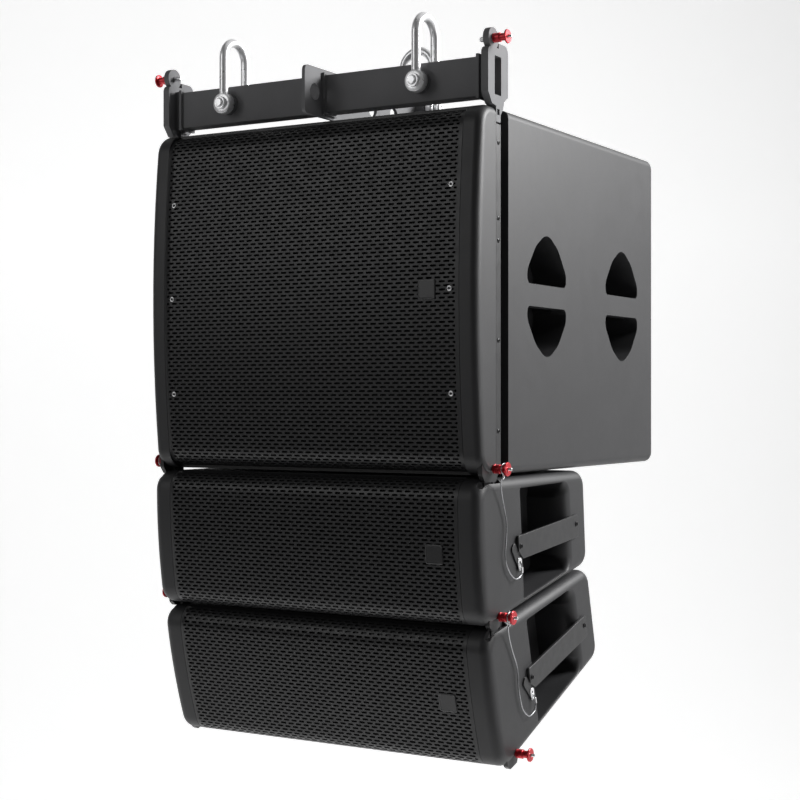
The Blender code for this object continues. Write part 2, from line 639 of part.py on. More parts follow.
def module(tag, parent, shell_name):
    """One line array module, in its own frame."""
    body = cabinet(shell_name, module_profile, MODULE_EDGE)
    reach = (-290, 40)
    cuts = [
        front_band(module_profile(GRILLE_SHEET + GAP), MODULE_GRILLE_HALF + 0.6, reach, -16),
        box("front chamber", -266, 266, -100, MODULE_BAFFLE[0], MODULE_BOTTOM + 16, MODULE_TOP - 16),
        box("front cavity", -284, 284, MODULE_BAFFLE[1], 70, -218, -33),
        prism("rear cavity", ((60, -38), (327, -60), (327, -190), (60, -214)), -225, 225),
        box("horn hole", -76, 76, -60, 20, MODULE_MIDDLE - 82, MODULE_MIDDLE + 82),
    ]
    for side in (-1, 1):
        cuts.append(rod("woofer hole", "Y", (side * WOOFER_X, 0, MODULE_MIDDLE), -60, 20, 74, 24))
        cuts.append(prism("recess", rounded(RECESS, (8, 27, 27, 8), 5), side * RECESS_FLOOR, side * 320))
        cuts.append(box("bar channel", side * CHANNEL_IN, side * (CHANNEL_MID + 0.4), -17, 17, -270, 20))
        cuts.append(box("ear channel", side * CHANNEL_MID, side * SKIN, -30, 15, -270, -160))
        cuts.append(box("ear notch", side * (CHANNEL_MID - 0.2), side * SKIN, -38, 27, -26, 20))
        for z in (0, -PIN_PITCH):
            cuts.append(rod("pin hole", "X", (0, 0, z), side * (PIN_END - 0.6), side * 315, 4.6))
    cut(body, *cuts)
    y, z = LINK_PIVOT
    join(body, box("link housing", -14, 14, 262, 332, -206, -50))
    cut(
        body,
        box("link socket", -5, 5, y - 16, y + 18, z - 20, 20),
        box("lower link socket", -5, 5, 284, 320, -260, -128),
    )
    join(body, rod("link pivot", "X", (0, y, z), -8, 8, 4, 16))
    place(body, own(shell_name, BLACK), (0, 0, 0), parent)

    panel = grille_panel(
        "module_" + tag + "_grille",
        module_profile(),
        module_profile(GRILLE_SHEET),
        MODULE_GRILLE_HALF,
        reach,
        -17,
    )
    place(panel, own(panel.name, BLACK), (0, 0, 0), parent)

    horn = box("module_" + tag + "_horn_driver", -80, 80, MODULE_BAFFLE[0] - 5, MODULE_BAFFLE[0] - GAP, MODULE_MIDDLE - 86, MODULE_MIDDLE + 86)
    rings = []
    for depth, half_width, half_height in ((-22, 74, 80), (10, 46, 60), (60, 20, 26)):
        rings.append(
            [(sx * half_width, depth, MODULE_MIDDLE + sz * half_height) for sx, sz in ((-1, -1), (1, -1), (1, 1), (-1, 1))]
        )
    join(horn, loft("flare", rings), rod("driver", "Y", (0, 0, MODULE_MIDDLE), 58, 112, 46, 20))
    rings = []
    for depth, half_width, half_height in ((-30, 76, 82), (8, 42, 56), (64, 12, 12)):
        rings.append(
            [(sx * half_width, depth, MODULE_MIDDLE + sz * half_height) for sx, sz in ((-1, -1), (1, -1), (1, 1), (-1, 1))]
        )
    cut(horn, loft("mouth", rings))
    place(horn, own(horn.name, BLACK), (0, 0, 0), parent)

    for side, word in ((-1, "left"), (1, "right")):
        bar = prism(
            "module_" + tag + "_rigging_bar_" + word,
            rounded(((12, 13), (12, -196), (-12, -196), (-12, 13)), (11, 0, 0, 11), 6),
            side * INNER_EAR[0],
            side * INNER_EAR[1],
        )
        ear = rounded(
            ((12, -168), (12, -234), (4, -245), (-20, -245), (-27, -238), (-27, -212), (-12, -196), (-12, -168)),
            (0, 5, 4, 4, 5, 5, 4, 0),
        )
        join(
            bar,
            prism("ear", ear, side * OUTER_EAR[0], side * OUTER_EAR[1]),
            box("rivet block", side * (INNER_EAR[0] + 2), side * (OUTER_EAR[1] - 2), -10, 10, -194, -170),
        )
        cut(bar, *[rod("pin hole", "X", (0, 0, z), side * 280, side * 330, PIN_HOLE) for z in (0, -PIN_PITCH)])
        place(bar, own(bar.name, STEEL), (0, 0, 0), parent)

        handle = prism("module_" + tag + "_handle_bar_" + word, rounded(HANDLE_BAR, (4, 4, 4, 3, 3)), *[side * x for x in HANDLE_BAR_X])
        tab = prism("anchor", rounded(ANCHOR_TAB, (5, 5, 5, 5)), side * HANDLE_BAR_X[0], side * (HANDLE_BAR_X[0] + 2.4))
        join(handle, tab)
        cut(handle, rod("eye", "X", (0, *ANCHOR_EYE), side * 300, side * 330, 3.2, 16))
        place(handle, own(handle.name, STEEL), (0, 0, 0), parent)

        centre = (side * WOOFER_X, 0, MODULE_MIDDLE)
        frame = woofer_frame("module_" + tag + "_woofer_frame_" + word, centre, 72, 82, MODULE_BAFFLE[0], 82, 42)
        place(frame, own(frame.name, STEEL), (0, 0, 0), parent)
        cone = woofer_cone("module_" + tag + "_woofer_cone_" + word, centre, 72, MODULE_BAFFLE[0], 82)
        place(cone, own(cone.name, PAPER), (side * WOOFER_X, MODULE_BAFFLE[0], MODULE_MIDDLE), parent)


def rear_link(tag, parent, rise, tilt):
    """The bar that sets the splay at the back: hinged on its module, it slides in the socket of the cabinet above."""
    half = LINK_WIDTH / 2
    link = prism(
        "module_" + tag + "_rear_link",
        rounded(((half, -10), (half, rise), (-half, rise), (-half, -10)), (9.5, 3, 3, 9.5)),
        -4,
        4,
    )
    cut(link, rod("pivot hole", "X", (0, 0, 0), -20, 20, 4.4, 20))
    link.data.transform(Matrix.Rotation(math.radians(-tilt), 4, "X"))
    link.location = (0, LINK_PIVOT[0] * MM, LINK_PIVOT[1] * MM)
    link.parent = parent
    link.data.materials.append(own(link.name, STEEL))
    link.data.shade_smooth()
    link.data.set_sharp_from_angle(angle=math.radians(31))


def frame_empty(name, location, tilt, parent=None):
    empty = bpy.data.objects.new(name, None)
    bpy.context.scene.collection.objects.link(empty)
    empty.location = Vector(location) * MM
    empty.rotation_euler.x = math.radians(tilt)
    empty.parent = parent
    return empty


for stale in list(bpy.data.objects):
    bpy.data.objects.remove(stale)

BLACK = new_material("black paint", (0.012, 0.012, 0.013), 0.0, 0.5)
STEEL = new_material("black steel", (0.02, 0.02, 0.022), 0.6, 0.45)
GALVANISED = new_material("galvanised steel", (0.55, 0.56, 0.58), 1.0, 0.35)
RED = new_material("red anodised", (0.7, 0.02, 0.03), 0.3, 0.35)
PAPER = new_material("cone paper", (0.02, 0.02, 0.02), 0.0, 0.9)

flybar()
subwoofer()
module_1 = frame_empty("module_1", (0, *SUB_PIN), SPLAY_1)
module_2 = frame_empty("module_2", (0, 0, -PIN_PITCH), SPLAY_2, module_1)
module("1", module_1, "module_1_shell")
module("2", module_2, "module_2_shell")
rear_link("1", module_1, LINK_RISE[0], SPLAY_1)
rear_link("2", module_2, LINK_RISE[1], SPLAY_2)
for hand, word in ((-1, "left"), (1, "right")):
    quick_pin("flybar_" + word, hand, FLYBAR_PIN)
    quick_pin("sub_" + word, hand, SUB_PIN)
    quick_pin("module_1_" + word, hand, (0, -PIN_PITCH), module_1)
    quick_pin("module_2_" + word, hand, (0, -PIN_PITCH), module_2)
    lanyard("lanyard_1_" + word, LANYARD_1, hand, module_1)
    lanyard("lanyard_2_" + word, LANYARD_2, hand, module_2)
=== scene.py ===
"""Looks of the line array speaker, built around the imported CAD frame.

Shapes are worked out in millimetres in the frame of the body that they ride on, then turned into the row frame, in
metres. Tuples that describe side views are (y, z).
"""

import math

import bmesh
import bpy
import numpy as np
from mathutils import Matrix, Vector


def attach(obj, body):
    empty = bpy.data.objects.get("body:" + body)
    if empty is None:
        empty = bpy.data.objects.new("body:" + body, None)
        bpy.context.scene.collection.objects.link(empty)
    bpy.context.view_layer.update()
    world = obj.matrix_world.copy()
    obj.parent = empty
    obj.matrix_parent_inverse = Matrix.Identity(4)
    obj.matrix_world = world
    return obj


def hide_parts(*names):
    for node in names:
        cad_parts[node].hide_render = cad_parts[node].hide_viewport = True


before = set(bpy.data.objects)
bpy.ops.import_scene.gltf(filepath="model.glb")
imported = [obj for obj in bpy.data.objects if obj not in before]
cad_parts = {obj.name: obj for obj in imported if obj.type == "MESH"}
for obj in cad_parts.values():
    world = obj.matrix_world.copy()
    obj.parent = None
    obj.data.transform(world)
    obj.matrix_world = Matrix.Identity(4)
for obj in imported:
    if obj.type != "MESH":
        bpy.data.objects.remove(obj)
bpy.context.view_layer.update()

MM = 0.001
SPLAY_1, SPLAY_2, WEDGE = 5.0, 10.0, 5.0
PIN_PITCH = 227.0
SUB_PIN = (-15.0, -597.0)
FLYBAR_PIN = (-15.0, 55.0)
HALF_WIDTH = 310.0
SKIN = 307.2
CHANNEL_IN, CHANNEL_MID = 290.5, 299.0
PIN_END = 287.0
SUB_TOP, SUB_BOTTOM, SUB_BACK, SUB_FRONT = -46.0, -607.0, 643.0, -69.0
SUB_MIDDLE = (SUB_TOP + SUB_BOTTOM) / 2
SUB_BOW, SUB_EDGE = 2300.0, 13.0
SUB_BAFFLE = (-30.0, -8.0)
SUB_GRILLE_HALF = 279.0
SUB_DROP = 5.0
STRIP = (-6.5, 8.5)
HANDLE_CENTRES = (175.5, 489.0)
HANDLE_FLOOR, HANDLE_BRIDGE = 250.0, 285.0
MODULE_TOP, MODULE_BOTTOM, MODULE_BACK, MODULE_FRONT = -15.0, -236.0, 342.0, -54.0
MODULE_MIDDLE = (MODULE_TOP + MODULE_BOTTOM) / 2
MODULE_BOW, MODULE_EDGE = 1000.0, 17.0
MODULE_BAFFLE = (-20.0, -4.0)
MODULE_GRILLE_HALF = 273.0
RECESS = ((86, -42), (274, -56), (274, -200), (86, -217))
HANDLE_BAR = ((65, -113), (293, -113), (293, -151), (80, -151), (65, -137))
ANCHOR_TAB = ((45, -131), (57, -121), (84, -162), (72, -172))
ANCHOR_EYE = (70, -155)
WOOFER_X = 178.0
LINK_PIVOT = (300.0, -62.0)
TUBE = (-16.0, 14.0, -30.0, 30.0)
TUBE_END = 283.0
PLATE = (298.0, 310.0)
PICK_HOLES = (-40.0, 68.0, 138.0, 208.0)
SHACKLE_X = 184.0
REAR_SHACKLE = (298.0, 24.0)
GAP = 0.4
SHEET = 3.0
SIDES = ((-1, "left"), (1, "right"))
SLOT_ROW, SLOT_COLUMNS = 6.1, 36



def hung(above, y, z, splay):
    """The frame of a module hung from a pin at y, z of the frame above."""
    return above @ Matrix.Translation((0, y * MM, z * MM)) @ Matrix.Rotation(math.radians(splay), 4, "X")


FRAMES = {"root": Matrix.Identity(4)}
FRAMES["module_1"] = hung(FRAMES["root"], *SUB_PIN, SPLAY_1)
FRAMES["module_2"] = hung(FRAMES["module_1"], 0, -PIN_PITCH, SPLAY_2)


# ---------------------------------------------------------------- mesh tools


def linked(name, data):
    obj = bpy.data.objects.new(name, data)
    bpy.context.scene.collection.objects.link(obj)
    return obj


def mesh_object(name, points, faces):
    mesh = bpy.data.meshes.new(name)
    mesh.from_pydata([Vector(p) * MM for p in points], [], faces)
    shape = bmesh.new()
    shape.from_mesh(mesh)
    bmesh.ops.recalc_face_normals(shape, faces=shape.faces)
    shape.to_mesh(mesh)
    shape.free()
    return linked(name, mesh)


def combine(target, others, operation):
    group = bpy.data.collections.new(operation)
    bpy.context.scene.collection.children.link(group)
    for other in others:
        group.objects.link(other)
    modifier = target.modifiers.new(operation, "BOOLEAN")
    modifier.operation = operation
    modifier.solver = "EXACT"
    modifier.operand_type = "COLLECTION"
    modifier.collection = group
    bake(target)
    for other in others:
        bpy.data.objects.remove(other)
    bpy.data.collections.remove(group)
    return target


def bake(obj):
    bpy.context.view_layer.update()
    graph = bpy.context.evaluated_depsgraph_get()
    result = bpy.data.meshes.new_from_object(obj.evaluated_get(graph))
    obj.modifiers.clear()
    obj.data = result
    return obj


def cut(target, *others):
    return combine(target, others, "DIFFERENCE")


def join(target, *others):
    return combine(target, others, "UNION")


def merge(name, objects):
    """One object holding the meshes of all, without joining them as solids."""
    shape = bmesh.new()
    for obj in objects:
        shape.from_mesh(obj.data)
        bpy.data.objects.remove(obj)
    mesh = bpy.data.meshes.new(name)
    shape.to_mesh(mesh)
    shape.free()
    return linked(name, mesh)


def soften(obj, width, segments=2):
    """Bevels the sharp edges and keeps the flat faces shading flat."""
    shape = bmesh.new()
    shape.from_mesh(obj.data)
    bmesh.ops.remove_doubles(shape, verts=shape.verts, dist=2e-6)
    bmesh.ops.dissolve_limit(
        shape, angle_limit=math.radians(0.6), verts=shape.verts, edges=shape.edges, delimit={"NORMAL"}
    )
    shape.to_mesh(obj.data)
    shape.free()
    bevel = obj.modifiers.new("edges", "BEVEL")
    bevel.width = width * MM
    bevel.segments = segments
    bevel.limit_method = "ANGLE"
    bevel.angle_limit = math.radians(35)
    bevel.miter_outer = "MITER_ARC"
    bake(obj)
    obj.data.shade_smooth()
    obj.data.set_sharp_from_angle(angle=math.radians(50))
    normals = obj.modifiers.new("normals", "WEIGHTED_NORMAL")
    normals.keep_sharp = True
    normals.weight = 80
    return obj


def smooth(obj, angle=32):
    obj.data.shade_smooth()
    obj.data.set_sharp_from_angle(angle=math.radians(angle))
    return obj


def rounded(corners, radii, steps=8):
    outline = []
    for i, corner in enumerate(corners):
        here = Vector(corner)
        before = (Vector(corners[i - 1]) - here).normalized()
        after = (Vector(corners[(i + 1) % len(corners)]) - here).normalized()
        if not radii[i]:
            outline.append(tuple(here))
            continue
        half = before.angle(after) / 2
        centre = here + (before + after).normalized() * radii[i] / math.sin(half)
        start = here + before * radii[i] / math.tan(half) - centre
        sweep = start.angle_signed(here + after * radii[i] / math.tan(half) - centre)
        for step in range(steps + 1):
            turn = Matrix.Rotation(-sweep * step / steps, 2)
            outline.append(tuple(centre + turn @ start))
    return outline


def prism(name, outline, x0, x1):
    count = len(outline)
    points = [(x, y, z) for x in (x0, x1) for y, z in outline]
    faces = [tuple(range(count)), tuple(range(count, 2 * count))]
    faces += [(i, (i + 1) % count, count + (i + 1) % count, count + i) for i in range(count)]
    return mesh_object(name, points, faces)


def box(name, x0, x1, y0, y1, z0, z1):
    return prism(name, ((y0, z0), (y1, z0), (y1, z1), (y0, z1)), x0, x1)


def loft(name, rings):
    count = len(rings[0])
    points = [point for ring in rings for point in ring]
    faces = [tuple(range(count)), tuple(range(len(points) - count, len(points)))]
    for start in range(0, len(points) - count, count):
        for i in range(count):
            after = (i + 1) % count
            faces.append((start + i, start + after, start + count + after, start + count + i))
    return mesh_object(name, points, faces)


def turned(name, profile, axis, centre, steps=48, ring=False):
    points = []
    rows = []
    for along, radius in profile:
        row = []
        for step in range(steps if radius else 1):
            angle = 2 * math.pi * (step + 0.5) / steps
            across = (radius * math.cos(angle), radius * math.sin(angle))
            place = {"X": (along, *across), "Y": (across[0], along, across[1]), "Z": (*across, along)}[axis]
            row.append(len(points))
            points.append(tuple(c + p for c, p in zip(centre, place)))
        rows.append(row)
    faces = []
    pairs = list(zip(rows, rows[1:]))
    if ring:
        pairs.append((rows[-1], rows[0]))
    for first, second in pairs:
        for i in range(steps):
            after = (i + 1) % steps
            corners = [first[i % len(first)], first[after % len(first)]]
            corners += [second[after % len(second)], second[i % len(second)]]
            faces.append(tuple(dict.fromkeys(corners)))
    return mesh_object(name, points, [face for face in faces if len(face) > 2])


def rod(name, axis, centre, start, end, radius, steps=32):
    return turned(name, ((start, 0), (start, radius), (end, radius), (end, 0)), axis, centre, steps)


def swept(name, path, radius, steps=24):
    path = [Vector(p) for p in path]
    rings = []
    across = None
    for i, point in enumerate(path):
        along = (path[min(i + 1, len(path) - 1)] - path[max(i - 1, 0)]).normalized()
        if across is None:
            across = along.orthogonal().normalized()
        across = (across - along * across.dot(along)).normalized()
        other = along.cross(across)
        size = radius(i / (len(path) - 1)) if callable(radius) else radius
        angles = [2 * math.pi * step / steps for step in range(steps)]
        rings.append([tuple(point + size * (math.cos(a) * across + math.sin(a) * other)) for a in angles])
    return loft(name, rings)


def screw_head(name, axis, centre, face, radius, height, socket=0.45):
    """A button head screw with a socket, its head standing from face towards the sign of height."""
    sign = 1 if height > 0 else -1
    high = abs(height)
    dome = [(radius * math.cos(a), high * (0.35 + 0.65 * math.sin(a))) for a in (i * math.pi / 14 for i in range(5))]
    profile = [(face - sign * 0.6, 0), (face - sign * 0.6, radius), (face, radius)]
    profile += [(face + sign * h, r) for r, h in dome]
    profile += [(face + sign * high, radius * socket * 1.25), (face + sign * high * 0.98, radius * socket)]
    profile += [(face + sign * high * 0.2, radius * socket * 0.96), (face + sign * high * 0.2, 0)]
    return smooth(turned(name, profile, axis, centre, 36), 40)


def line_corner(first, second, radius):
    (n1, d1), (n2, d2) = first, second
    det = n1[0] * n2[1] - n1[1] * n2[0]
    return Vector(
        (((d1 - radius) * n2[1] - (d2 - radius) * n1[1]) / det, ((d2 - radius) * n1[0] - (d1 - radius) * n2[0]) / det)
    )


def nose_corner(side, nose, bow, radius):
    normal, distance = Vector(side[0]), side[1] - radius
    offset = distance - normal.dot(nose)
    along = Vector((-normal.y, normal.x))
    reach = math.sqrt((bow - radius) ** 2 - offset**2)
    first, second = nose + normal * offset + along * reach, nose + normal * offset - along * reach
    return first if first.x < second.x else second


def side_profile(top, bottom, back, front, bow, middle, front_radius, back_radius, inset=0.0, wedge=0.0, fine=1):
    """Side view of a cabinet: back top corner, front top corner, nose, front bottom corner, back bottom corner."""
    corner_steps, nose_steps = 9 * fine, 22 * fine
    lean = math.radians(wedge)
    up = ((math.sin(lean), math.cos(lean)), top * math.cos(lean))
    down = ((math.sin(lean), -math.cos(lean)), -bottom * math.cos(lean))
    rear = ((1.0, 0.0), back)
    nose = Vector((front + bow, middle))
    corners = (
        (line_corner(up, rear, back_radius), Vector(rear[0]), Vector(up[0]), back_radius),
        (nose_corner(up, nose, bow, front_radius), Vector(up[0]), None, front_radius),
        (nose_corner(down, nose, bow, front_radius), None, Vector(down[0]), front_radius),
        (line_corner(down, rear, back_radius), Vector(down[0]), Vector(rear[0]), back_radius),
    )
    groups = []
    for place, (centre, start, end, radius) in enumerate(corners):
        outward = (centre - nose).normalized()
        first = math.atan2(*(start or outward).yx)
        last = math.atan2(*(end or outward).yx)
        turn = (last - first) % (2 * math.pi)
        group = []
        for step in range(corner_steps + 1):
            angle = first + turn * step / corner_steps
            group.append(tuple(centre + (radius - inset) * Vector((math.cos(angle), math.sin(angle)))))
        groups.append(group)
        if place == 1:
            low = corners[2][0] - nose
            angles = (math.atan2(outward.y, outward.x), math.atan2(low.y, low.x))
            sweep = (angles[1] - angles[0]) % (2 * math.pi)
            group = []
            for step in range(1, nose_steps):
                angle = angles[0] + sweep * step / nose_steps
                group.append(tuple(nose + (bow - inset) * Vector((math.cos(angle), math.sin(angle)))))
            groups.append(group)
    return groups


def sub_groups(inset=0.0, drop=0.0, fine=1):
    top, bottom = SUB_TOP - drop, SUB_BOTTOM + drop
    return side_profile(top, bottom, SUB_BACK, SUB_FRONT, SUB_BOW, SUB_MIDDLE, 35, 18, inset, 0, fine)


def module_groups(inset=0.0, _drop=0.0, fine=1):
    """Side view of a module; its grille has no drop."""
    top, bottom = MODULE_TOP, MODULE_BOTTOM
    return side_profile(top, bottom, MODULE_BACK, MODULE_FRONT, MODULE_BOW, MODULE_MIDDLE, 32, 28, inset, WEDGE, fine)


def whole(groups):
    """The groups of a side view as one outline."""
    return [point for group in groups for point in group]


def cabinet(name, groups, edge):
    """A solid of this side view, its edges to the two side faces rounded."""
    layers = 7
    rings = []
    for side in (-1, 1):
        steps = range(layers + 1) if side < 0 else range(layers, -1, -1)
        for step in steps:
            angle = math.pi / 2 * (1 - step / layers)
            x = side * (HALF_WIDTH - edge + edge * math.sin(angle))
            rings.append([(x, y, z) for y, z in whole(groups(edge * (1 - math.cos(angle))))])
    return loft(name, rings)


def front_band(groups, half, reach, depth_from, drop):
    """What the grille's recess takes from the front of a cabinet."""
    band = box("band", -half, half, -120, depth_from, reach[0], reach[1])
    return cut(band, prism("core", whole(groups(SHEET + GAP, drop)), -half - 5, half + 5))


# ---------------------------------------------------------------- materials


class Paint:
    """A node material built up in steps on one Principled shader."""

    def __init__(self, name, colour, metallic=0.0, roughness=0.5):
        self.material = bpy.data.materials.new(name)
        self.material.use_nodes = True
        self.tree = self.material.node_tree
        self.shader = self.tree.nodes["Principled BSDF"]
        self.shader.inputs["Base Color"].default_value = (*colour, 1.0)
        self.shader.inputs["Metallic"].default_value = metallic
        self.shader.inputs["Roughness"].default_value = roughness
        self.material.diffuse_color = (*colour, 1.0)
        self.place = self.tree.nodes.new("ShaderNodeTexCoord").outputs["Object"]
        self.bump_out = None

    def link(self, a, b):
        self.tree.links.new(a, b)

    def node(self, kind, vector=None, **values):
        """A new node with its values, taking the object's coordinates, stretched by vector if that is given."""
        node = self.tree.nodes.new("ShaderNode" + kind)
        for key, value in values.items():
            node.inputs[key.replace("_", " ")].default_value = value
        if kind.startswith("Tex"):
            self.link(self.scaled(vector) if vector else self.place, node.inputs["Vector"])
        return node

    def scaled(self, stretch):
        node = self.node("Mapping", Scale=stretch)
        self.link(self.place, node.inputs["Vector"])
        return node.outputs["Vector"]

    def noise(self, scale, detail=3.0, rough=0.55, stretch=None, distortion=0.0):
        values = {"Scale": scale, "Detail": detail, "Roughness": rough, "Distortion": distortion}
        return self.node("TexNoise", stretch, **values).outputs["Fac"]

    def cells(self, scale, feature="F1", output="Distance"):
        node = self.node("TexVoronoi", Scale=scale)
        node.feature = feature
        return node.outputs[output]

    def ramp(self, value, stops):
        node = self.node("ValToRGB")
        for element, (at, colour) in zip(node.color_ramp.elements, stops):
            element.position = at
            element.color = (*colour, 1.0) if isinstance(colour, tuple) else (colour, colour, colour, 1.0)
        self.link(value, node.inputs["Fac"])
        return node.outputs["Color"]

    def spread(self, value, low, high, start=0.25, end=0.75):
        node = self.node("MapRange", From_Min=start, From_Max=end, To_Min=low, To_Max=high)
        self.link(value, node.inputs["Value"])
        return node.outputs["Result"]

    def blend(self, factor, first, second, kind="MIX"):
        node = self.node("Mix")
        node.data_type = "RGBA"
        node.blend_type = kind
        for value, socket in ((factor, node.inputs[0]), (first, node.inputs[6]), (second, node.inputs[7])):
            if isinstance(value, float):
                socket.default_value = value
            elif isinstance(value, tuple):
                socket.default_value = (*value, 1.0)
            else:
                self.link(value, socket)
        return node.outputs[2]

    def base(self, value):
        self.link(value, self.shader.inputs["Base Color"])
        return self

    def rough(self, value):
        self.link(value, self.shader.inputs["Roughness"])
        return self

    def bump(self, height, distance, strength=1.0):
        node = self.node("Bump", Distance=distance * MM, Strength=strength)
        self.link(height, node.inputs["Height"])
        if self.bump_out:
            self.link(self.bump_out, node.inputs["Normal"])
        self.bump_out = node.outputs["Normal"]
        self.link(self.bump_out, self.shader.inputs["Normal"])
        return self


def shade(colour, factor):
    return tuple(c * factor for c in colour)


def cabinet_paint(name, colour):
    """Hard textured paint: fine pebbles and faint mottling."""
    paint = Paint(name, colour, 0.0, 0.5)
    mottle = paint.ramp(paint.noise(7.0, 4.0), ((0.3, shade(colour, 0.94)), (0.7, shade(colour, 1.06))))
    speck = paint.ramp(paint.cells(900.0), ((0.0, 1.12), (0.6, 0.94)))
    paint.base(paint.blend(1.0, mottle, speck, "MULTIPLY"))
    paint.rough(paint.spread(paint.noise(30.0, 3.0), 0.47, 0.54))
    paint.bump(paint.noise(1150.0, 2.0), 0.12, 0.4)
    paint.bump(paint.cells(800.0, "SMOOTH_F1"), 0.1, 0.3)
    return paint.material


def powder(name, colour, grain=900.0, low=0.34, high=0.5, metallic=0.0, worn=0.3):
    """Powder coat: orange peel and faint specks of dust."""
    paint = Paint(name, colour, metallic, 0.42)
    tone = paint.ramp(paint.noise(14.0, 4.0), ((0.3, shade(colour, 0.93)), (0.7, shade(colour, 1.07))))
    dust = paint.ramp(paint.noise(260.0, 5.0, 0.7), ((0.68, 0.0), (0.8, worn)))
    paint.base(paint.blend(dust, tone, shade(colour, 2.6)))
    paint.rough(paint.spread(paint.noise(60.0, 4.0), low, high))
    paint.bump(paint.noise(grain, 2.0), 0.06, 0.4)
    return paint.material


def zinc(name, colour):
    """Bright zinc: crystal patches and dull spots."""
    paint = Paint(name, colour, 0.62, 0.3)
    flakes = paint.ramp(paint.cells(140.0, "F1", "Color"), ((0.0, shade(colour, 0.97)), (1.0, colour)))
    stain = paint.ramp(paint.noise(55.0, 5.0), ((0.35, 0.95), (0.62, 1.0)))
    paint.base(paint.blend(1.0, flakes, stain, "MULTIPLY"))
    paint.rough(paint.spread(paint.noise(120.0, 4.0), 0.26, 0.36, 0.3, 0.7))
    paint.bump(paint.noise(300.0, 2.0), 0.01, 0.3)
    return paint.material


def brushed(name, colour, along, metallic=1.0):
    """Turned or drawn metal with fine lines."""
    paint = Paint(name, colour, metallic, 0.3)
    lines = paint.noise(1.0, 3.0, 0.6, along)
    paint.base(paint.ramp(lines, ((0.25, shade(colour, 0.7)), (0.75, colour))))
    paint.rough(paint.spread(paint.noise(1.0, 2.0, 0.5, along), 0.2, 0.42))
    paint.bump(lines, 0.03, 0.6)
    return paint.material


def anodised(name, colour):
    """Dyed anodised aluminium: satin, a little darker in its turned grooves."""
    paint = Paint(name, colour, 0.55, 0.32)
    lines = paint.noise(1.0, 2.0, 0.5, (1500.0, 40.0, 40.0))
    paint.base(paint.ramp(lines, ((0.3, shade(colour, 0.72)), (0.7, colour))))
    paint.rough(paint.spread(paint.noise(300.0, 3.0), 0.25, 0.42))
    paint.bump(lines, 0.03, 0.5)
    paint.shader.inputs["Coat Weight"].default_value = 0.25
    paint.shader.inputs["Coat Roughness"].default_value = 0.2
    return paint.material


def foam(name):
    """Open-cell foam behind a grille."""
    paint = Paint(name, (0.003, 0.003, 0.003), 0.0, 0.95)
    cells = paint.cells(700.0)
    paint.base(paint.ramp(cells, ((0.0, 0.0008), (0.7, 0.0045))))
    paint.rough(paint.spread(cells, 0.85, 1.0, 0.0, 0.8))
    paint.bump(cells, 0.6, 0.8)
    return paint.material


def paper(name):
    """Pressed pulp cone with fibres."""
    paint = Paint(name, (0.018, 0.018, 0.018), 0.0, 0.9)
    fibres = paint.noise(800.0, 4.0, 0.6, (1.0, 0.3, 1.0), 0.8)
    paint.base(paint.ramp(fibres, ((0.3, 0.01), (0.7, 0.028))))
    paint.rough(paint.spread(fibres, 0.75, 0.95))
    paint.bump(fibres, 0.15, 0.5)
    return paint.material


def moulded(name, level):
    """Moulded plastic with a fine spark-eroded grain."""
    paint = Paint(name, (level, level, level), 0.0, 0.5)
    grains = paint.cells(1100.0, "SMOOTH_F1")
    paint.base(paint.ramp(paint.noise(25.0, 3.0), ((0.3, level * 0.85), (0.7, level * 1.15))))
    paint.rough(paint.spread(paint.noise(90.0, 3.0), 0.42, 0.58))
    paint.bump(grains, 0.08, 0.5)
    return paint.material


def casting(name, level):
    """Painted cast metal."""
    paint = Paint(name, (level, level, level), 0.1, 0.5)
    pits = paint.noise(420.0, 5.0, 0.65)
    paint.base(paint.ramp(pits, ((0.3, level * 0.75), (0.7, level * 1.2))))
    paint.rough(paint.spread(pits, 0.45, 0.65))
    paint.bump(pits, 0.2, 0.5)
    return paint.material


def floor_paint(name, level):
    paint = Paint(name, (level, level, level), 0.0, 0.8)
    paint.base(paint.ramp(paint.noise(0.8, 3.0), ((0.3, level * 0.985), (0.7, level))))
    paint.rough(paint.spread(paint.noise(40.0, 3.0), 0.75, 0.9))
    paint.shader.inputs["Emission Color"].default_value = (1.0, 1.0, 1.0, 1.0)
    paint.shader.inputs["Emission Strength"].default_value = 0.53
    return paint.material


CABINET = cabinet_paint("cabinet_paint", (0.022, 0.022, 0.0235))
MODULE = cabinet_paint("module_paint", (0.021, 0.021, 0.0225))
GRILLE = powder("grille_powder", (0.017, 0.017, 0.018), 1000.0, 0.36, 0.5, 0.0, 0.06)
STEEL = powder("rigging_powder", (0.02, 0.02, 0.021), 900.0, 0.32, 0.48, 0.0, 0.16)
FLYBAR = powder("flybar_powder", (0.17, 0.17, 0.175), 800.0, 0.55, 0.65, 0.0, 0.12)
FLYBAR.node_tree.nodes["Principled BSDF"].inputs["Specular IOR Level"].default_value = 0.12
BADGE = powder("badge_plate", (0.03, 0.03, 0.031), 1400.0, 0.3, 0.4, 0.0, 0.12)
ZINC = zinc("bright_zinc", (0.9, 0.9, 0.91))
WIRE = brushed("lanyard_steel", (0.46, 0.465, 0.48), (260.0, 260.0, 2600.0))
BRIGHT = brushed("pin_steel", (0.8, 0.8, 0.81), (1400.0, 60.0, 60.0))
# Black bolts; also painted shade in the middle of each grille screw, where its socket hole is shaded
BOLT_AND_SOCKET_SHADE = brushed("black_bolt_and_socket_shade", (0.025, 0.025, 0.026), (900.0, 200.0, 200.0), 0.8)
RED = anodised("red_anodised", (0.62, 0.018, 0.03))
FOAM = foam("grille_foam")
PAPER = paper("cone_paper")
HORN = moulded("horn_plastic", 0.02)
PLUG = moulded("end_plug", 0.003)
CAST = casting("driver_frame", 0.022)
FLOOR = floor_paint("floor", 0.86)


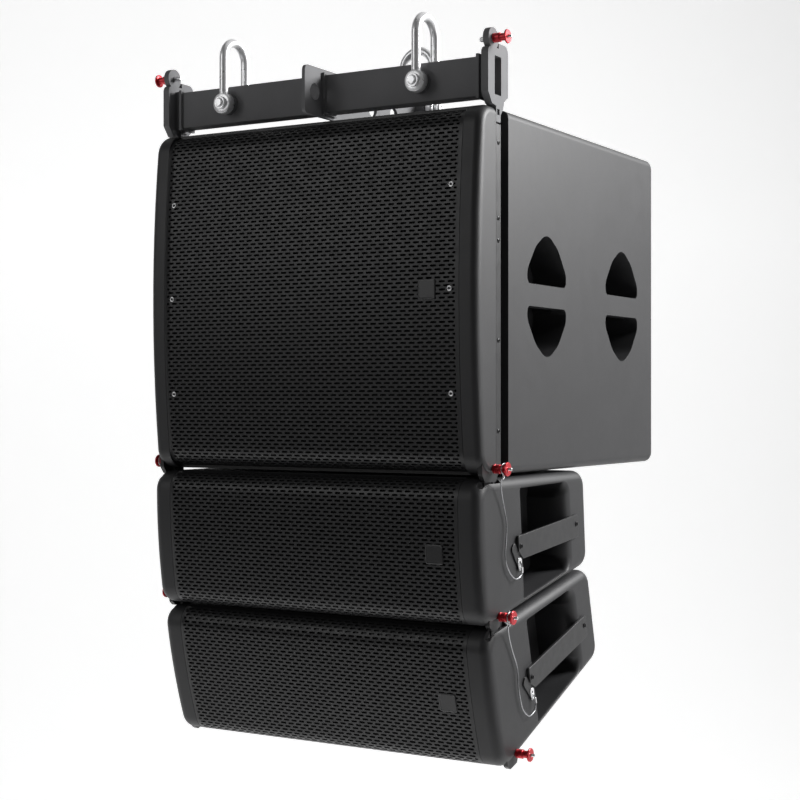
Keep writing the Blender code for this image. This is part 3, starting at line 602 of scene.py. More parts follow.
def finish(obj, material, body, replaces=(), matrix_of=None):
    """Puts a piece made in a body's own frame into the row frame, gives it its finish and lets it ride."""
    obj.data.transform(FRAMES[matrix_of or body])
    obj.data.materials.clear()
    obj.data.materials.append(material)
    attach(obj, body)
    if replaces:
        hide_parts(*replaces)
    return obj


# ---------------------------------------------------------------- grilles


# Faces between a slot and the edge of its cell: corners 0 to 5 are the cell's, 6 to 15 the slot's
RIGHT_OF_SLOT = ((5, 0, 6, 15), (0, 7, 6), (0, 1, 8, 7), (4, 5, 14, 13), (5, 15, 14))
LEFT_OF_SLOT = ((1, 2, 9, 8), (2, 10, 9), (2, 3, 11, 10), (3, 12, 11), (3, 4, 13, 12))


def slotted_grille(name, groups, drop, half, depth_from, span):
    """A sheet panel that follows the bowed front, punched with staggered slots, its outer face on the profile.

    span is how far the slots reach sideways. Gives the panel, a function from the distance down the panel to the
    point there and its outward normal, and the whole distance.
    """
    parts = groups(0.0, drop, 6)
    top_y, top_z = parts[1][0]
    low_y, low_z = parts[3][-1]
    lean = (parts[1][0][1] - parts[0][-1][1]) / (parts[1][0][0] - parts[0][-1][0])
    first = (depth_from, top_z + lean * (depth_from - top_y))
    last = (depth_from, low_z - lean * (depth_from - low_y))
    path = np.array([first] + whole(parts[1:4]) + [last])
    lengths = np.concatenate(([0.0], np.cumsum(np.linalg.norm(np.diff(path, axis=0), axis=1))))
    total = lengths[-1]

    def at(s):
        s = min(max(s, 0.0), total)
        y, z = np.interp(s, lengths, path[:, 0]), np.interp(s, lengths, path[:, 1])
        a, b = max(s - 0.4, 0.0), min(s + 0.4, total)
        dy = np.interp(b, lengths, path[:, 0]) - np.interp(a, lengths, path[:, 0])
        dz = np.interp(b, lengths, path[:, 1]) - np.interp(a, lengths, path[:, 1])
        size = math.hypot(dy, dz)
        return y, z, dz / size, -dy / size

    arc = lengths[1 + len(parts[1])] - lengths[1]
    margin = lengths[1] + arc * 0.2
    rows = int((total - 2 * margin) / SLOT_ROW)
    low_s = total / 2 - rows * SLOT_ROW / 2
    pitch = 2 * span / SLOT_COLUMNS
    hx, hs = pitch / 2, SLOT_ROW / 2
    reach, side, tip = 5.5 * pitch / 15, 3.8 * pitch / 15, 1.7
    mid = (reach + side) / 2 + (reach - side) * 0.37
    slot = [(mid, 0.85), (side, tip), (0, tip), (-side, tip), (-mid, 0.85)]
    slot += [(-mid, -0.85), (-side, -tip), (0, -tip), (side, -tip), (mid, -0.85)]
    points, index, faces = [], {}, []

    def vertex(x, s):
        key = (round(x, 3), round(s, 3))
        if key not in index:
            index[key] = len(points)
            points.append((x, s))
        return index[key]

    def add(corners):
        faces.append([vertex(x, s) for x, s in corners])

    for row in range(rows):
        centre_s = low_s + (row + 0.5) * SLOT_ROW
        shifted = row % 2
        for k in range(SLOT_COLUMNS + shifted):
            cx = -span + pitch * (k + (0 if shifted else 0.5))
            edge = [(hx, hs), (0, hs), (-hx, hs), (-hx, -hs), (0, -hs), (hx, -hs)]
            corners = [(cx + x, centre_s + s) for x, s in edge + slot]
            for cell, inside in ((RIGHT_OF_SLOT, cx < span - 0.1), (LEFT_OF_SLOT, cx > -span + 0.1)):
                for face in cell if inside else ():
                    add([corners[i] for i in face])
        for sign in (-1, 1):
            inner = [(sign * span, centre_s + s) for s in ((hs, tip, -tip, -hs) if shifted else (hs, -hs))]
            add(inner + [(sign * half, centre_s - hs), (sign * half, centre_s + hs)])
    xs = [-half] + [-span + hx * k for k in range(2 * SLOT_COLUMNS + 1)] + [half]
    for start, end in ((0.0, low_s), (low_s + rows * SLOT_ROW, total)):
        count = max(2, round(abs(end - start) / 5))
        levels = [start + (end - start) * k / count for k in range(count + 1)]
        for a, b in zip(levels, levels[1:]):
            for x0, x1 in zip(xs, xs[1:]):
                add(((x0, a), (x1, a), (x1, b), (x0, b)))
    cache = {}
    outer, inner = [], []
    for x, s in points:
        key = round(s, 3)
        if key not in cache:
            cache[key] = at(s)
        y, z, ny, nz = cache[key]
        outer.append((x, y, z))
        inner.append((x, y - ny * SHEET * 0.6, z - nz * SHEET * 0.6))
    count = len(points)
    used = dict.fromkeys((a, b) for face in faces for a, b in zip(face, face[1:] + face[:1]))
    solid = [list(face) for face in faces]
    solid += [[i + count for i in reversed(face)] for face in faces]
    solid += [[b, a, a + count, b + count] for a, b in used if (b, a) not in used]
    return smooth(mesh_object(name, outer + inner, solid), 35), at, total


def foam_sheet(name, at, total, half, inset, margin):
    """A thin foam slab behind the grille."""
    count, thick = 40, 3
    outline = []
    for depth, order in ((inset, range(count + 1)), (inset + thick, range(count, -1, -1))):
        for k in order:
            y, z, ny, nz = at(margin + (total - 2 * margin) * k / count)
            outline.append((y - ny * depth, z - nz * depth))
    return smooth(loft(name, [[(float(x), y, z) for y, z in outline] for x in np.linspace(-half, half, 9)]))


def badge_plate(name, at, x0, x1, s0, s1):
    """A plain square plate with a raised rim, on the grille."""

    def ring(grow, lift):
        out = []
        left, right, low, high = x0 - grow, x1 + grow, s0 - grow, s1 + grow
        for x, s in rounded(((left, low), (right, low), (right, high), (left, high)), (2.5,) * 4, 6):
            y, z, ny, nz = at(s)
            out.append((x, y + ny * lift, z + nz * lift))
        return out

    rings = [ring(0, -0.4), ring(0, 0.9), ring(-0.5, 1.3), ring(-2.0, 1.3), ring(-2.3, 0.95), ring(-2.5, 0.95)]
    return smooth(loft(name, rings), 40)


# ---------------------------------------------------------------- cabinets


def handle_pocket(centre, side):
    """The two pockets of a grip, one above and one below its bridge, joined behind it."""
    half = ((73, -308), (74, -287), (43, -247.5))
    upper = [(centre + y, z) for y, z in half] + [(centre, -222)] + [(centre - y, z) for y, z in reversed(half)]
    lower = [(y, 2 * -325.75 - z) for y, z in upper]
    radii = (10, 25, 60, 38, 60, 25, 10)
    floor, bridge = side * HANDLE_FLOOR, side * HANDLE_BRIDGE
    parts = [prism("pocket", rounded(outline, radii, 10), floor, side * 315) for outline in (upper, lower)]
    return parts + [box("behind bridge", floor, bridge, centre - 70, centre + 70, -350, -300)]


def subwoofer():
    body = cabinet("sub_body", sub_groups, SUB_EDGE)
    y, z = SUB_PIN
    reach = (SUB_BOTTOM - 20, SUB_TOP + 20)
    ear_room = rounded(((-7.2, -555), (9.2, -555), (9.2, -640), (y - 32, -640), (y - 32, z + 19)), (0, 0, 0, 0, 8))
    cuts = [
        front_band(sub_groups, SUB_GRILLE_HALF + 0.6, reach, -25, SUB_DROP),
        box("front chamber", -270, 270, -100, SUB_BAFFLE[0], SUB_BOTTOM + 18, SUB_TOP - 18),
        box("front cavity", -278, 278, SUB_BAFFLE[1], 80, SUB_BOTTOM + 18, SUB_TOP - 18),
        box("rear cavity", -236, 236, 75, SUB_BACK - 18, SUB_BOTTOM + 18, SUB_TOP - 18),
        rod("woofer hole", "Y", (0, 0, SUB_MIDDLE), -60, 20, 212, 64),
        box("connector hole", -75, 75, 600, 660, -420, -300),
    ]
    for side in (-1, 1):
        cuts.append(box("rigging groove", side * 292.5, side * 315, -7, 35, -640, 0))
        cuts.append(prism("ear pocket", ear_room, side * CHANNEL_MID, side * SKIN))
        inner, outer = side * CHANNEL_IN, side * (CHANNEL_MID + 0.5)
        cuts.append(box("inner ear pocket", inner, outer, y - 18, y + 18, -640, z + 20))
        cuts.append(rod("pin hole", "X", (0, y, z), side * (PIN_END - 0.6), side * 315, 4.6))
        for centre in HANDLE_CENTRES:
            cuts += handle_pocket(centre, side)
    cut(body, *cuts)
    join(body, box("link housing", -14, 14, 258, 318, SUB_BOTTOM + 2, -520))
    cut(body, box("link socket", -5, 5, 266, 306, SUB_BOTTOM - 20, -528))
    soften(body, 2.2, 3)
    finish(body, CABINET, "root", ["sub_cabinet"])

    panel, at, total = slotted_grille("sub_slotted_grille", sub_groups, SUB_DROP, SUB_GRILLE_HALF, -26, 273)
    finish(panel, GRILLE, "root", ["sub_grille"])
    finish(foam_sheet("sub_grille_foam", at, total, 268, 4.2, 38), FOAM, "root")
    middle = total / 2
    finish(badge_plate("sub_badge", at, 209, 239, middle - 16.5, middle + 13.5), BADGE, "root")
    spots = [(side * 263, SUB_MIDDLE - z + middle) for side in (-1, 1) for z in (-168, -325, -483)]
    heads = [grille_screw("head", at, *spot) for spot in spots]
    finish(merge("sub_grille_screws", heads), BRIGHT, "root")
    # Painted shade: dark dishes in the grille screws stand in for their shaded socket holes
    sockets = [grille_socket_shade("socket", at, *spot) for spot in spots]
    finish(merge("sub_grille_sockets", sockets), BOLT_AND_SOCKET_SHADE, "root")

    heads = []
    for side in (-1, 1):
        for at_z in (-101, -216, -250, -402, -540):
            heads.append(screw_head("head", "X", (0, 1, at_z), side * HALF_WIDTH, 3.6, side * 1.4))
    finish(merge("sub_strip_screws", heads), BOLT_AND_SOCKET_SHADE, "root")


def grille_screw(name, at, x, s):
    """The bright rim of a countersunk screw, square to the grille."""
    y, z, ny, nz = at(s)
    profile = ((-0.5, 2.1), (-0.5, 4.2), (0.35, 4.2), (0.75, 3.7), (0.75, 2.7), (0.3, 2.1))
    return on_surface(turned(name, profile, "Y", (0, 0, 0), 40, ring=True), x, y, z, ny, nz)


def grille_socket_shade(name, at, x, s):
    """A dark dish in the middle of a grille screw: painted shade standing in for the shaded socket hole."""
    y, z, ny, nz = at(s)
    profile = ((-0.5, 0), (-0.5, 2.3), (0.2, 2.3), (0.35, 1.9), (-0.2, 1.6), (-0.2, 0))
    return on_surface(turned(name, profile, "Y", (0, 0, 0), 24), x, y, z, ny, nz)


def on_surface(obj, x, y, z, ny, nz):
    """Turns an object drawn along +Y to stand on the surface point, along its normal."""
    turn = Vector((0, 1, 0)).rotation_difference(Vector((0, ny, nz))).to_matrix().to_4x4()
    obj.data.transform(Matrix.Translation(Vector((x, y, z)) * MM) @ turn)
    return smooth(obj, 40)


def scoop(side):
    """The hand recess: straight walls at the front, rolled edges above and below, a long curve out at the back."""
    rim = [Vector(p) for p in rounded(RECESS, (8, 27, 27, 8), 10)]
    middle = sum(rim, Vector((0, 0))) / len(rim)
    rings = []
    for step in range(-2, 10):
        ring = []
        for i, point in enumerate(rim):
            along = rim[(i + 1) % len(rim)] - rim[i - 1]
            out = Vector((along.y, -along.x)).normalized()
            if out.dot(point - middle) < 0:
                out = -out
            inset = 21 * max(out.x, 0) ** 2 + 1.0 * max(-out.x, 0)
            flare = 4.5 * abs(out.y) + 1.5 * max(out.x, 0) ** 2
            depth = 6 * abs(out.y) + 34 * max(out.x, 0) ** 2 + 1.5 * max(-out.x, 0)
            if step == -2:
                ring.append((side * 240, *(point - out * inset)))
            elif step == -1:
                ring.append((side * (HALF_WIDTH - depth - 2), *(point - out * inset)))
            else:
                angle = math.pi / 2 * min(step, 8) / 8
                grow = (inset + flare) * (1 - math.cos(angle))
                x = HALF_WIDTH - depth + depth * math.sin(angle) + (12 if step == 9 else 0)
                ring.append((side * x, *(point - out * (inset - grow))))
        rings.append(ring)
    return loft("recess", rings)


def module(tag):
    name = "module_" + tag
    body = cabinet(name + "_body", module_groups, MODULE_EDGE)
    cuts = [
        front_band(module_groups, MODULE_GRILLE_HALF + 0.6, (-290, 40), -16, 0),
        box("front chamber", -266, 266, -100, MODULE_BAFFLE[0], MODULE_BOTTOM + 16, MODULE_TOP - 16),
        box("front cavity", -284, 284, MODULE_BAFFLE[1], 70, -218, -33),
        prism("rear cavity", ((60, -38), (327, -60), (327, -190), (60, -214)), -225, 225),
        box("horn hole", -76, 76, -60, 20, MODULE_MIDDLE - 82, MODULE_MIDDLE + 82),
    ]
    for side in (-1, 1):
        cuts.append(rod("woofer hole", "Y", (side * WOOFER_X, 0, MODULE_MIDDLE), -60, 20, 74, 48))
        cuts.append(scoop(side))
        cuts.append(box("bar channel", side * CHANNEL_IN, side * (CHANNEL_MID + 0.4), -17, 17, -270, 20))
        cuts.append(box("ear channel", side * CHANNEL_MID, side * SKIN, -30, 15, -270, -160))
        cuts.append(box("ear notch", side * (CHANNEL_MID - 0.2), side * SKIN, -38, 27, -26, 20))
        for z in (0, -PIN_PITCH):
            cuts.append(rod("pin hole", "X", (0, 0, z), side * (PIN_END - 0.6), side * 315, 4.6))
    cut(body, *cuts)
    y, z = LINK_PIVOT
    join(body, box("link housing", -14, 14, 262, 332, -206, -50))
    upper = box("link socket", -5, 5, y - 16, y + 18, z - 20, 20)
    cut(body, upper, box("lower link socket", -5, 5, 284, 320, -260, -128))
    join(body, rod("link pivot", "X", (0, y, z), -8, 8, 4, 24))
    soften(body, 1.8, 3)
    finish(body, MODULE, name, [name + "_shell"])

    panel, at, total = slotted_grille(name + "_slotted_grille", module_groups, 0, MODULE_GRILLE_HALF, -17, 267)
    finish(panel, GRILLE, name, [name + "_grille"])
    finish(foam_sheet(name + "_grille_foam", at, total, 262, 4.2, 36), FOAM, name)
    badge = badge_plate(name + "_badge", at, 216, 246, total / 2 - 15, total / 2 + 15)
    finish(badge, BADGE, name)

    for side, word in SIDES:
        handle = prism(name + "_grip_" + word, rounded(HANDLE_BAR, (4, 4, 4, 3, 3)), side * 310.4, side * 315.4)
        tab = prism("anchor", rounded(ANCHOR_TAB, (5, 5, 5, 5)), side * 310.4, side * 312.8)
        join(handle, tab)
        cut(handle, rod("eye", "X", (0, *ANCHOR_EYE), side * 300, side * 330, 3.2, 32))
        soften(handle, 0.9, 3)
        finish(handle, STEEL, name, [name + "_handle_bar_" + word])
        heads = [
            screw_head("head", "X", (0, 72, -130), side * 315.4, 4.6, side * 1.5, 0.6),
            screw_head("head", "X", (0, 283, -128), side * 315.4, 4.6, side * 1.5, 0.6),
        ]
        finish(merge(name + "_grip_screws_" + word, heads), BOLT_AND_SOCKET_SHADE, name)


# ---------------------------------------------------------------- flybar and shackles


def flybar():
    corners = ((-69, -38), (345, -38), (345, 40), (-69, 40))
    beam = prism("flybar_frame", rounded(corners, (8, 8, 10, 10)), -3, 3)
    y0, y1, z0, z1 = TUBE
    extra = []
    for side in (-1, 1):
        extra.append(box("tube", side * 2, side * TUBE_END, y0, y1, z0, z1))
        extra.append(box("inner flange", side * 2, side * 8, y0 - 4, y1 + 4, z0 - 4, z1 + 4))
        extra.append(box("outer flange", side * (TUBE_END - 1), side * 287, y0 - 4, y1 + 4, z0 - 4, z1 + 4))
        extra.append(box("sleeve", side * 286, side * (PLATE[0] - GAP), y0 + 2, y1 - 1, z0 - 2, z1 + 3))
        extra.append(rod("boss", "Y", (side * SHACKLE_X, (y0 + y1) / 2, 0), -22, 22, 17, 48))
    extra.append(rod("rear boss", "X", (0, *REAR_SHACKLE), -22, 22, 17, 48))
    join(beam, *extra)
    cuts = []
    for side in (-1, 1):
        cuts.append(box("hollow", side * 8.5, side * 320, y0 + 4.5, y1 - 3.5, z0 + 2, z1 - 2))
        cuts.append(rod("bolt hole", "Y", (side * SHACKLE_X, 0, 0), -60, 60, 8.4))
    cuts.append(rod("rear bolt hole", "X", (0, *REAR_SHACKLE), -60, 60, 8.4))
    cuts += [rod("pick hole", "X", (0, y, 0), -20, 20, 13, 48) for y in PICK_HOLES]
    cut(beam, *cuts)
    soften(beam, 1.2, 3)
    finish(beam, FLYBAR, "root", ["flybar_beam"])

    front, rear, low, high = y0 - 0.2, y1 + 0.2, z0 - 0.2, z1 + 0.2
    seam = rounded(((front, low), (rear, low), (rear, high), (front, high)), (1.2,) * 4, 4)
    beads = [weld("bead", [(side * x, y, z) for y, z in seam], 1.6) for side in (-1, 1) for x in (8.4, 282.0)]
    finish(merge("flybar_welds", beads), FLYBAR, "root")

    for side, word in SIDES:
        corners = (
            (34, 50), (2, 50), (2, 42), (-33, 42), (-33, -27), (-20, -44), (-7, SUB_TOP + GAP),
            (STRIP[0], SUB_TOP + GAP), (STRIP[0], -70), (STRIP[1], -70), (STRIP[1], -58), (17, -48),
            (20.6, -37), (27, -32), (34, -28),
        )
        radii = (12, 0, 0, 10, 0, 0, 0, 0, 2, 2, 0, 0, 0, 0, 0)
        plate = prism("side_plate_" + word, rounded(corners, radii), side * PLATE[0], side * PLATE[1])
        lobe = rod("lobe", "X", (0, *FLYBAR_PIN), side * 300, side * PLATE[1], 16.5, 64)
        tongue = box("tongue", side * 293, side * 301.7, *STRIP, -110, -36)
        join(plate, lobe, tongue)
        opening = rounded(((-11.5, -29), (10.5, -29), (10.5, 30), (-11.5, 30)), (2, 2, 2, 2))
        window = prism("window", opening, side * 280, side * 330)
        cut(
            plate,
            window,
            rod("pin hole", "X", (0, *FLYBAR_PIN), side * 280, side * 330, 4.4),
            box("slot hole", side * 303, side * 330, -3, 5, -59, -50),
            rod("screw hole", "X", (0, 1, -101), side * 280, side * 330, 3),
        )
        soften(plate, 1.1, 3)
        finish(plate, FLYBAR, "root", ["flybar_side_plate_" + word])

    plugs = []
    for side in (-1, 1):
        plugs.append(box("plug", side * 289.5, side * 292.0, y0 + 4.8, y1 - 3.8, z0 + 2.3, z1 - 2.3))
    finish(soften(merge("flybar_end_plugs", plugs), 0.4), PLUG, "root")

    middle = (y0 + y1) / 2
    shackle("front_left", (-SHACKLE_X, middle, 0), True)
    shackle("front_right", (SHACKLE_X, middle, 0), True)
    shackle("rear", (0, *REAR_SHACKLE), False)


def weld(name, outline, size):
    """A weld bead with ripples, run round a closed outline."""
    points = []
    for a, b in zip(outline, outline[1:] + outline[:1]):
        a, b = Vector(a), Vector(b)
        count = max(1, round((b - a).length / 1.2))
        points += [a.lerp(b, k / count) for k in range(count)]
    points.append(points[0])
    path = [tuple(p) for p in points]
    last = len(path) - 1
    return smooth(swept(name, path, lambda t: size * (1 + 0.13 * math.sin(t * last * 1.7)), 10), 60)


def shackle(tag, centre, along_y):
    """Forged bow with swelling eyes, and a bolt with a round stepped head and a nut."""
    leg, crown = 30.0, 75.0
    path = [(leg, 0.0, float(z)) for z in np.linspace(0, crown - 4, 8)]
    for step in range(33):
        angle = math.pi * step / 32
        path.append((leg * math.cos(angle), 0.0, crown + leg * math.sin(angle)))
    path += [(-leg, 0.0, float(z)) for z in np.linspace(crown - 4, 0, 8)]
    bow = swept("bow", path, 7.5, 28)
    eye = ((-7.5, 0), (-7.5, 15.4), (-6.9, 16.6), (-5.6, 17.3), (5.6, 17.3), (6.9, 16.6), (7.5, 15.4), (7.5, 0))
    eyes = [turned("eye", eye, "X", (s * leg, 0, 0), 56) for s in (-1, 1)]
    join(bow, *eyes)
    cut(bow, rod("bore", "X", (0, 0, 0), -60, 60, 8.4, 40))
    bow.name = "shackle_" + tag + "_forged_bow"
    profile = (
        (-47, 0), (-47, 5.6), (-46.4, 6.4), (-43.0, 6.8), (-42.6, 7.2), (-43.4, 8.0), (-43.4, 9.6),
        (-42.6, 10.5), (-38.6, 10.5), (-37.9, 9.8), (-37.9, 8), (37.9, 8), (37.9, 11.4), (38.6, 12), (43.2, 12),
        (44, 11.2), (44, 8.8), (45.4, 8.4), (47, 7.6), (47, 4.4), (45.6, 3.6), (45.6, 0),
    )
    bolt = turned("shackle_" + tag + "_machined_bolt", profile, "X", (0, 0, 0), 48)
    for obj, sharp, what in ((bow, 42, "_bow"), (bolt, 34, "_bolt")):
        smooth(obj, sharp)
        if along_y:
            obj.data.transform(Matrix.Rotation(math.pi / 2, 4, "Z"))
        obj.data.transform(Matrix.Translation(Vector(centre) * MM))
        finish(obj, ZINC, "shackle_" + tag, ["shackle_" + tag + what], "root")


# ---------------------------------------------------------------- pins and lanyards


def quick_pin(tag, side, centre, where):
    """Ball lock pin: grooved collar, ridged head and its button."""
    base = "pin_" + tag
    profile = [
        (304.0, 0), (304.0, 3.9), (310.4, 3.9), (310.4, 6.7), (310.9, 7.25), (313.6, 7.25), (313.9, 6.7),
        (314.9, 6.7), (315.2, 7.25), (321.4, 7.25), (322.0, 6.7), (322.0, 5.75), (330.6, 5.75), (331.6, 6.4),
        (332.0, 9.9), (332.5, 10.65), (334.4, 10.65), (335.0, 10.0), (335.0, 3.3), (334.6, 2.9), (324.0, 2.9),
        (324.0, 0),
    ]
    body = turned(base + "_turned", [(side * x, r) for x, r in profile], "X", (0, *centre), 48)
    finish(smooth(body, 30), RED, base, [base], where)
    profile = [(PIN_END, 0), (PIN_END, 2.6), (287.6, 3.2), (289.4, 3.5), (289.9, 4.0), (305.0, 4.0), (305.0, 0)]
    shank = turned(base + "_shank", [(side * x, r) for x, r in profile], "X", (0, *centre), 40)
    balls = []
    for turn in range(4):
        angle = math.pi / 4 + turn * math.pi / 2
        spot = (side * 292.6, centre[0] + 3.1 * math.cos(angle), centre[1] + 3.1 * math.sin(angle))
        arc = [(1.25 * math.cos(math.pi * k / 8), 1.25 * math.sin(math.pi * k / 8)) for k in range(9)]
        arc[0], arc[-1] = (arc[0][0], 0), (arc[-1][0], 0)
        balls.append(turned("ball", arc, "X", spot, 14))
    shank = merge(base + "_shank", [shank] + balls)
    finish(smooth(shank, 30), BRIGHT, base, (), where)
    profile = [(328.5, 0), (328.5, 2.5), (340.0, 2.5), (340.7, 2.1), (341.0, 1.5), (341.0, 0)]
    button = turned(base + "_turned_button", [(side * x, r) for x, r in profile], "X", (0, *centre), 32)
    finish(smooth(button, 30), BRIGHT, base + "_button", [base + "_button"], where)


LANYARD_1 = (
    (325.0, 2.0, -12.5), (321.0, 3.0, -17.0), (317.0, 9.2, -34.8), (315.0, 19.0, -57.7), (314.0, 28.0, -86.9),
    (314.0, 24.7, -112.6), (314.0, 19.4, -134.9), (314.0, 23.1, -151.0), (314.5, 32.2, -165.1), (315.5, 41.6, -173.8),
    (316.5, 49.7, -177.6), (317.0, 60.4, -176.4), (317.0, 67.9, -171.5), (316.0, 71.0, -163.0), (315.0, 70.0, -156.0),
)
LANYARD_2 = (
    (324.5, 2.5, -12.5), (321.0, 4.0, -16.0), (318.0, 7.5, -24.0), (315.0, 13.9, -43.2), (314.0, 20.7, -66.0),
    (314.0, 28.0, -89.4), (314.0, 28.5, -109.5), (314.0, 25.4, -128.1), (314.0, 28.7, -159.9), (315.0, 35.1, -174.6),
    (316.5, 44.0, -183.6), (317.0, 56.3, -185.1), (317.0, 66.3, -181.9), (316.5, 71.6, -170.6), (315.0, 70.5, -158.0),
)


def smooth_route(points, spacing):
    """A smooth curve through the points, as points this far apart."""
    points = [Vector(p) for p in points]
    dense = []
    for i in range(len(points) - 1):
        a, b = points[max(i - 1, 0)], points[i]
        c, d = points[i + 1], points[min(i + 2, len(points) - 1)]
        for step in range(24):
            t = step / 24
            bend, twist = 2 * a - 5 * b + 4 * c - d, 3 * b - a - 3 * c + d
            dense.append(0.5 * (2 * b + (c - a) * t + bend * t**2 + twist * t**3))
    dense.append(points[-1])
    lengths = [(q - p).length for p, q in zip(dense, dense[1:])]
    count = max(2, round(sum(lengths) / spacing))
    route = [dense[0]]
    travelled = 0.0
    for point, length in zip(dense[1:], lengths):
        travelled += length
        if travelled >= len(route) * sum(lengths) / count and len(route) < count:
            route.append(point)
    route.append(dense[-1])
    return route


def lanyard(number, word, side, route):
    """Steel wire from the loop round a pin's neck to the tab on the handle bar."""
    name = f"lanyard_{number}_{word}_wire"
    body = f"module_{number}"
    loop = [(327.5, 8.7 * math.cos(a), 8.7 * math.sin(a)) for a in (math.radians(-30 + 13 * k) for k in range(21))]
    loop = [Vector(p) for p in loop]
    points = [Vector((side * p.x, p.y, p.z)) * MM for p in loop[:-1] + smooth_route((loop[-1], *route), 3.0)]
    points = [FRAMES[body] @ p for p in points]
    curve = bpy.data.curves.new(name, "CURVE")
    curve.dimensions = "3D"
    curve.bevel_depth = 1.0 * MM
    curve.bevel_resolution = 4
    curve.use_fill_caps = True
    spline = curve.splines.new("POLY")
    spline.points.add(len(points) - 1)
    for target, point in zip(spline.points, points):
        target.co = (*point, 1.0)
    spline.use_smooth = True
    obj = linked(name, curve)
    curve.materials.append(WIRE)
    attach(obj, body)
    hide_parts(f"lanyard_{number}_{word}")
    outline = rounded(((63, -148), (77, -148), (74, -168), (66, -168)), (5, 5, 3.5, 3.5), 6)
    lug = prism("lug", outline, side * 313.0, side * 313.9)
    cut(lug, rod("eye", "X", (0, *ANCHOR_EYE), side * 300, side * 330, 2.2, 24))
    soften(lug, 0.25, 2)
    finish(lug, ZINC, body)
    lug.name = f"lanyard_{number}_{word}_lug"
    sleeves = []
    for place in (23, -5):
        middle = points[place]
        aim = (points[place + 1] - points[place - 1]).normalized() * 4.5 * MM
        path = [(middle + aim * t) / MM for t in (-1, -0.9, 0, 0.9, 1)]
        sleeves.append(swept("sleeve", path, lambda t: 1.9 if 0.02 < t < 0.98 else 1.5, 16))
    sleeve = merge(f"lanyard_{number}_{word}_sleeves", sleeves)
    smooth(sleeve, 40).data.materials.append(ZINC)
    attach(sleeve, body)


# ---------------------------------------------------------------- back panel


def connector_panel():
    plate = box("sub_connector_plate", -75 + GAP, 75 - GAP, SUB_BACK - 6, SUB_BACK - 1, -420 + GAP, -300 - GAP)
    sockets = [rod("socket", "Y", (x, 0, -345), SUB_BACK - 30, SUB_BACK + 1, 15, 48) for x in (-35, 35)]
    join(plate, *sockets)
    cut(plate, *[rod("socket hole", "Y", (x, 0, -345), SUB_BACK - 22, SUB_BACK + 9, 11.5, 48) for x in (-35, 35)])
    soften(plate, 0.8, 3)
    finish(plate, STEEL, "root", ["sub_connector_panel"])
    parts = []
    for x in (-35, 35):
        for turn in range(4):
            angle = math.pi / 4 + turn * math.pi / 2
            spot = (x + 6.5 * math.cos(angle), 0, -345 + 6.5 * math.sin(angle))
            parts.append(smooth(rod("contact", "Y", spot, SUB_BACK - 22.5, SUB_BACK - 12, 1.4, 16)))
    finish(merge("sub_connector_contacts", parts), BRIGHT, "root")
    heads = []
    for x in (-66, 66):
        for at_z in (-411, -309):
            heads.append(screw_head("head", "Y", (x, 0, at_z), SUB_BACK - 1, 3.4, 1.5))
    finish(merge("sub_connector_screws", heads), BOLT_AND_SOCKET_SHADE, "root")


# ---------------------------------------------------------------- build


flybar()
subwoofer()
module("1")
module("2")
connector_panel()
for side, word in SIDES:
    quick_pin("flybar_" + word, side, FLYBAR_PIN, "root")
    quick_pin("sub_" + word, side, SUB_PIN, "root")
    quick_pin("module_1_" + word, side, (0, -PIN_PITCH), "module_1")
    quick_pin("module_2_" + word, side, (0, -PIN_PITCH), "module_2")
    lanyard(1, word, side, LANYARD_1)
    lanyard(2, word, side, LANYARD_2)

CARRIED = (
    ("woofer_frame", CAST),
    ("woofer_cone", PAPER),
    ("horn_driver", HORN),
    ("rigging_bar", STEEL),
    ("rear_link", STEEL),
)
for node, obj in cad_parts.items():
    for part, material in CARRIED:
        if part in node:
            for slot in obj.material_slots:
                slot.material = material

# ---------------------------------------------------------------- floor, light and camera

VIEW_TURN = 30.35


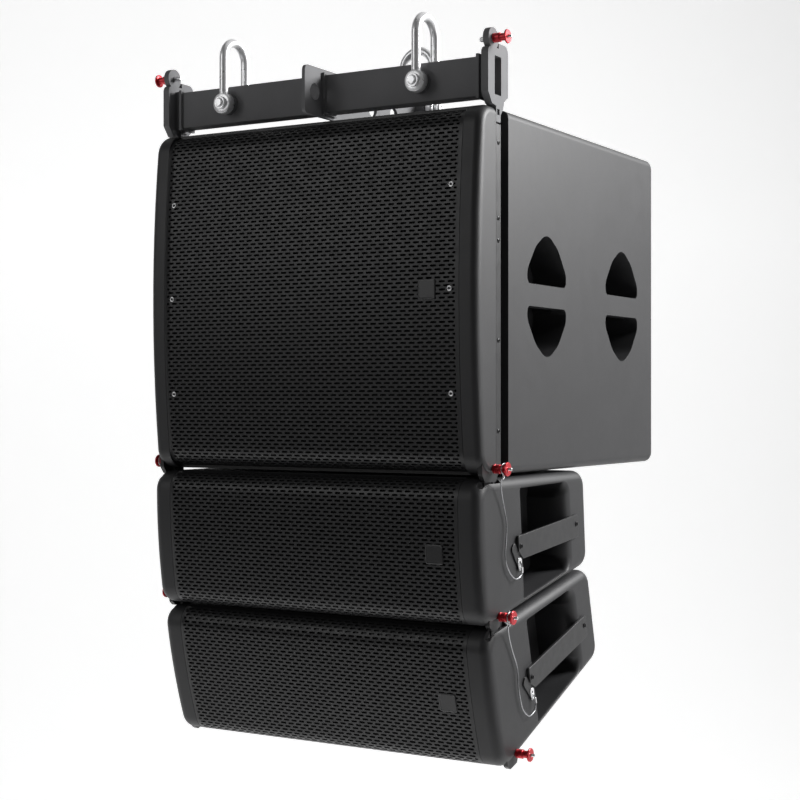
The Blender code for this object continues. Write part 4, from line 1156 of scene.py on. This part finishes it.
def backdrop():
    """A pale floor that sweeps up behind the object."""
    points = []
    low, start, radius, top = -2300.0, 2600.0, 2600.0, 7000.0
    path = [(-1500.0, low), (start, low)]
    for step in range(1, 17):
        angle = math.pi / 2 * step / 16
        path.append((start + radius * math.sin(angle), low + radius * (1 - math.cos(angle))))
    path.append((start + radius, top))
    for x in (-9000.0, 9000.0):
        points += [(x, y, z) for y, z in path]
    count = len(path)
    faces = [(i, i + 1, count + i + 1, count + i) for i in range(count - 1)]
    mesh = bpy.data.meshes.new("backdrop")
    turn = Matrix.Rotation(math.radians(VIEW_TURN), 4, "Z")
    mesh.from_pydata([turn @ (Vector(p) * MM) for p in points], [], faces)
    mesh.materials.append(FLOOR)
    mesh.shade_smooth()
    linked("backdrop", mesh)


def area_light(name, place, target, size, power):
    light = bpy.data.lights.new(name, "AREA")
    light.shape = "RECTANGLE"
    light.size, light.size_y = size
    light.energy = power
    obj = linked(name, light)
    obj.location = place
    obj.rotation_euler = (Vector(target) - Vector(place)).to_track_quat("-Z", "Y").to_euler()


backdrop()
world = bpy.data.worlds.new("studio")
bpy.context.scene.world = world
world.use_nodes = True
nodes = world.node_tree.nodes
rays = nodes.new("ShaderNodeLightPath")
level = nodes.new("ShaderNodeMapRange")
level.inputs["To Min"].default_value = 0.08
level.inputs["To Max"].default_value = 1.0
world.node_tree.links.new(rays.outputs["Is Camera Ray"], level.inputs["Value"])
world.node_tree.links.new(level.outputs["Result"], nodes["Background"].inputs["Strength"])
nodes["Background"].inputs["Color"].default_value = (1.0, 1.0, 1.0, 1.0)
bpy.context.scene.view_settings.view_transform = "Standard"
area_light("key", (2.1, 1.6, 1.0), (0.31, 0.4, 0.5), (1.2, 1.2), 160.0)
area_light("side", (3.2, 0.2, -0.5), (0.3, 0.1, -0.6), (1.0, 1.0), 12.0)
area_light("fill", (-1.8, -2.9, 0.8), (0.0, 0.0, -0.3), (1.6, 2.0), 19.0)
area_light("top", (0.2, 0.4, 2.6), (0.0, 0.2, 0.0), (2.4, 2.4), 8.0)

camera = linked("camera", bpy.data.cameras.new("camera"))
camera.data.lens = 71.1
camera.data.sensor_width = 36.0
camera.location = (1.3956, -2.1495, -0.4927)
camera.rotation_euler = (math.radians(90.0), 0.0, math.radians(VIEW_TURN))
bpy.context.scene.camera = camera
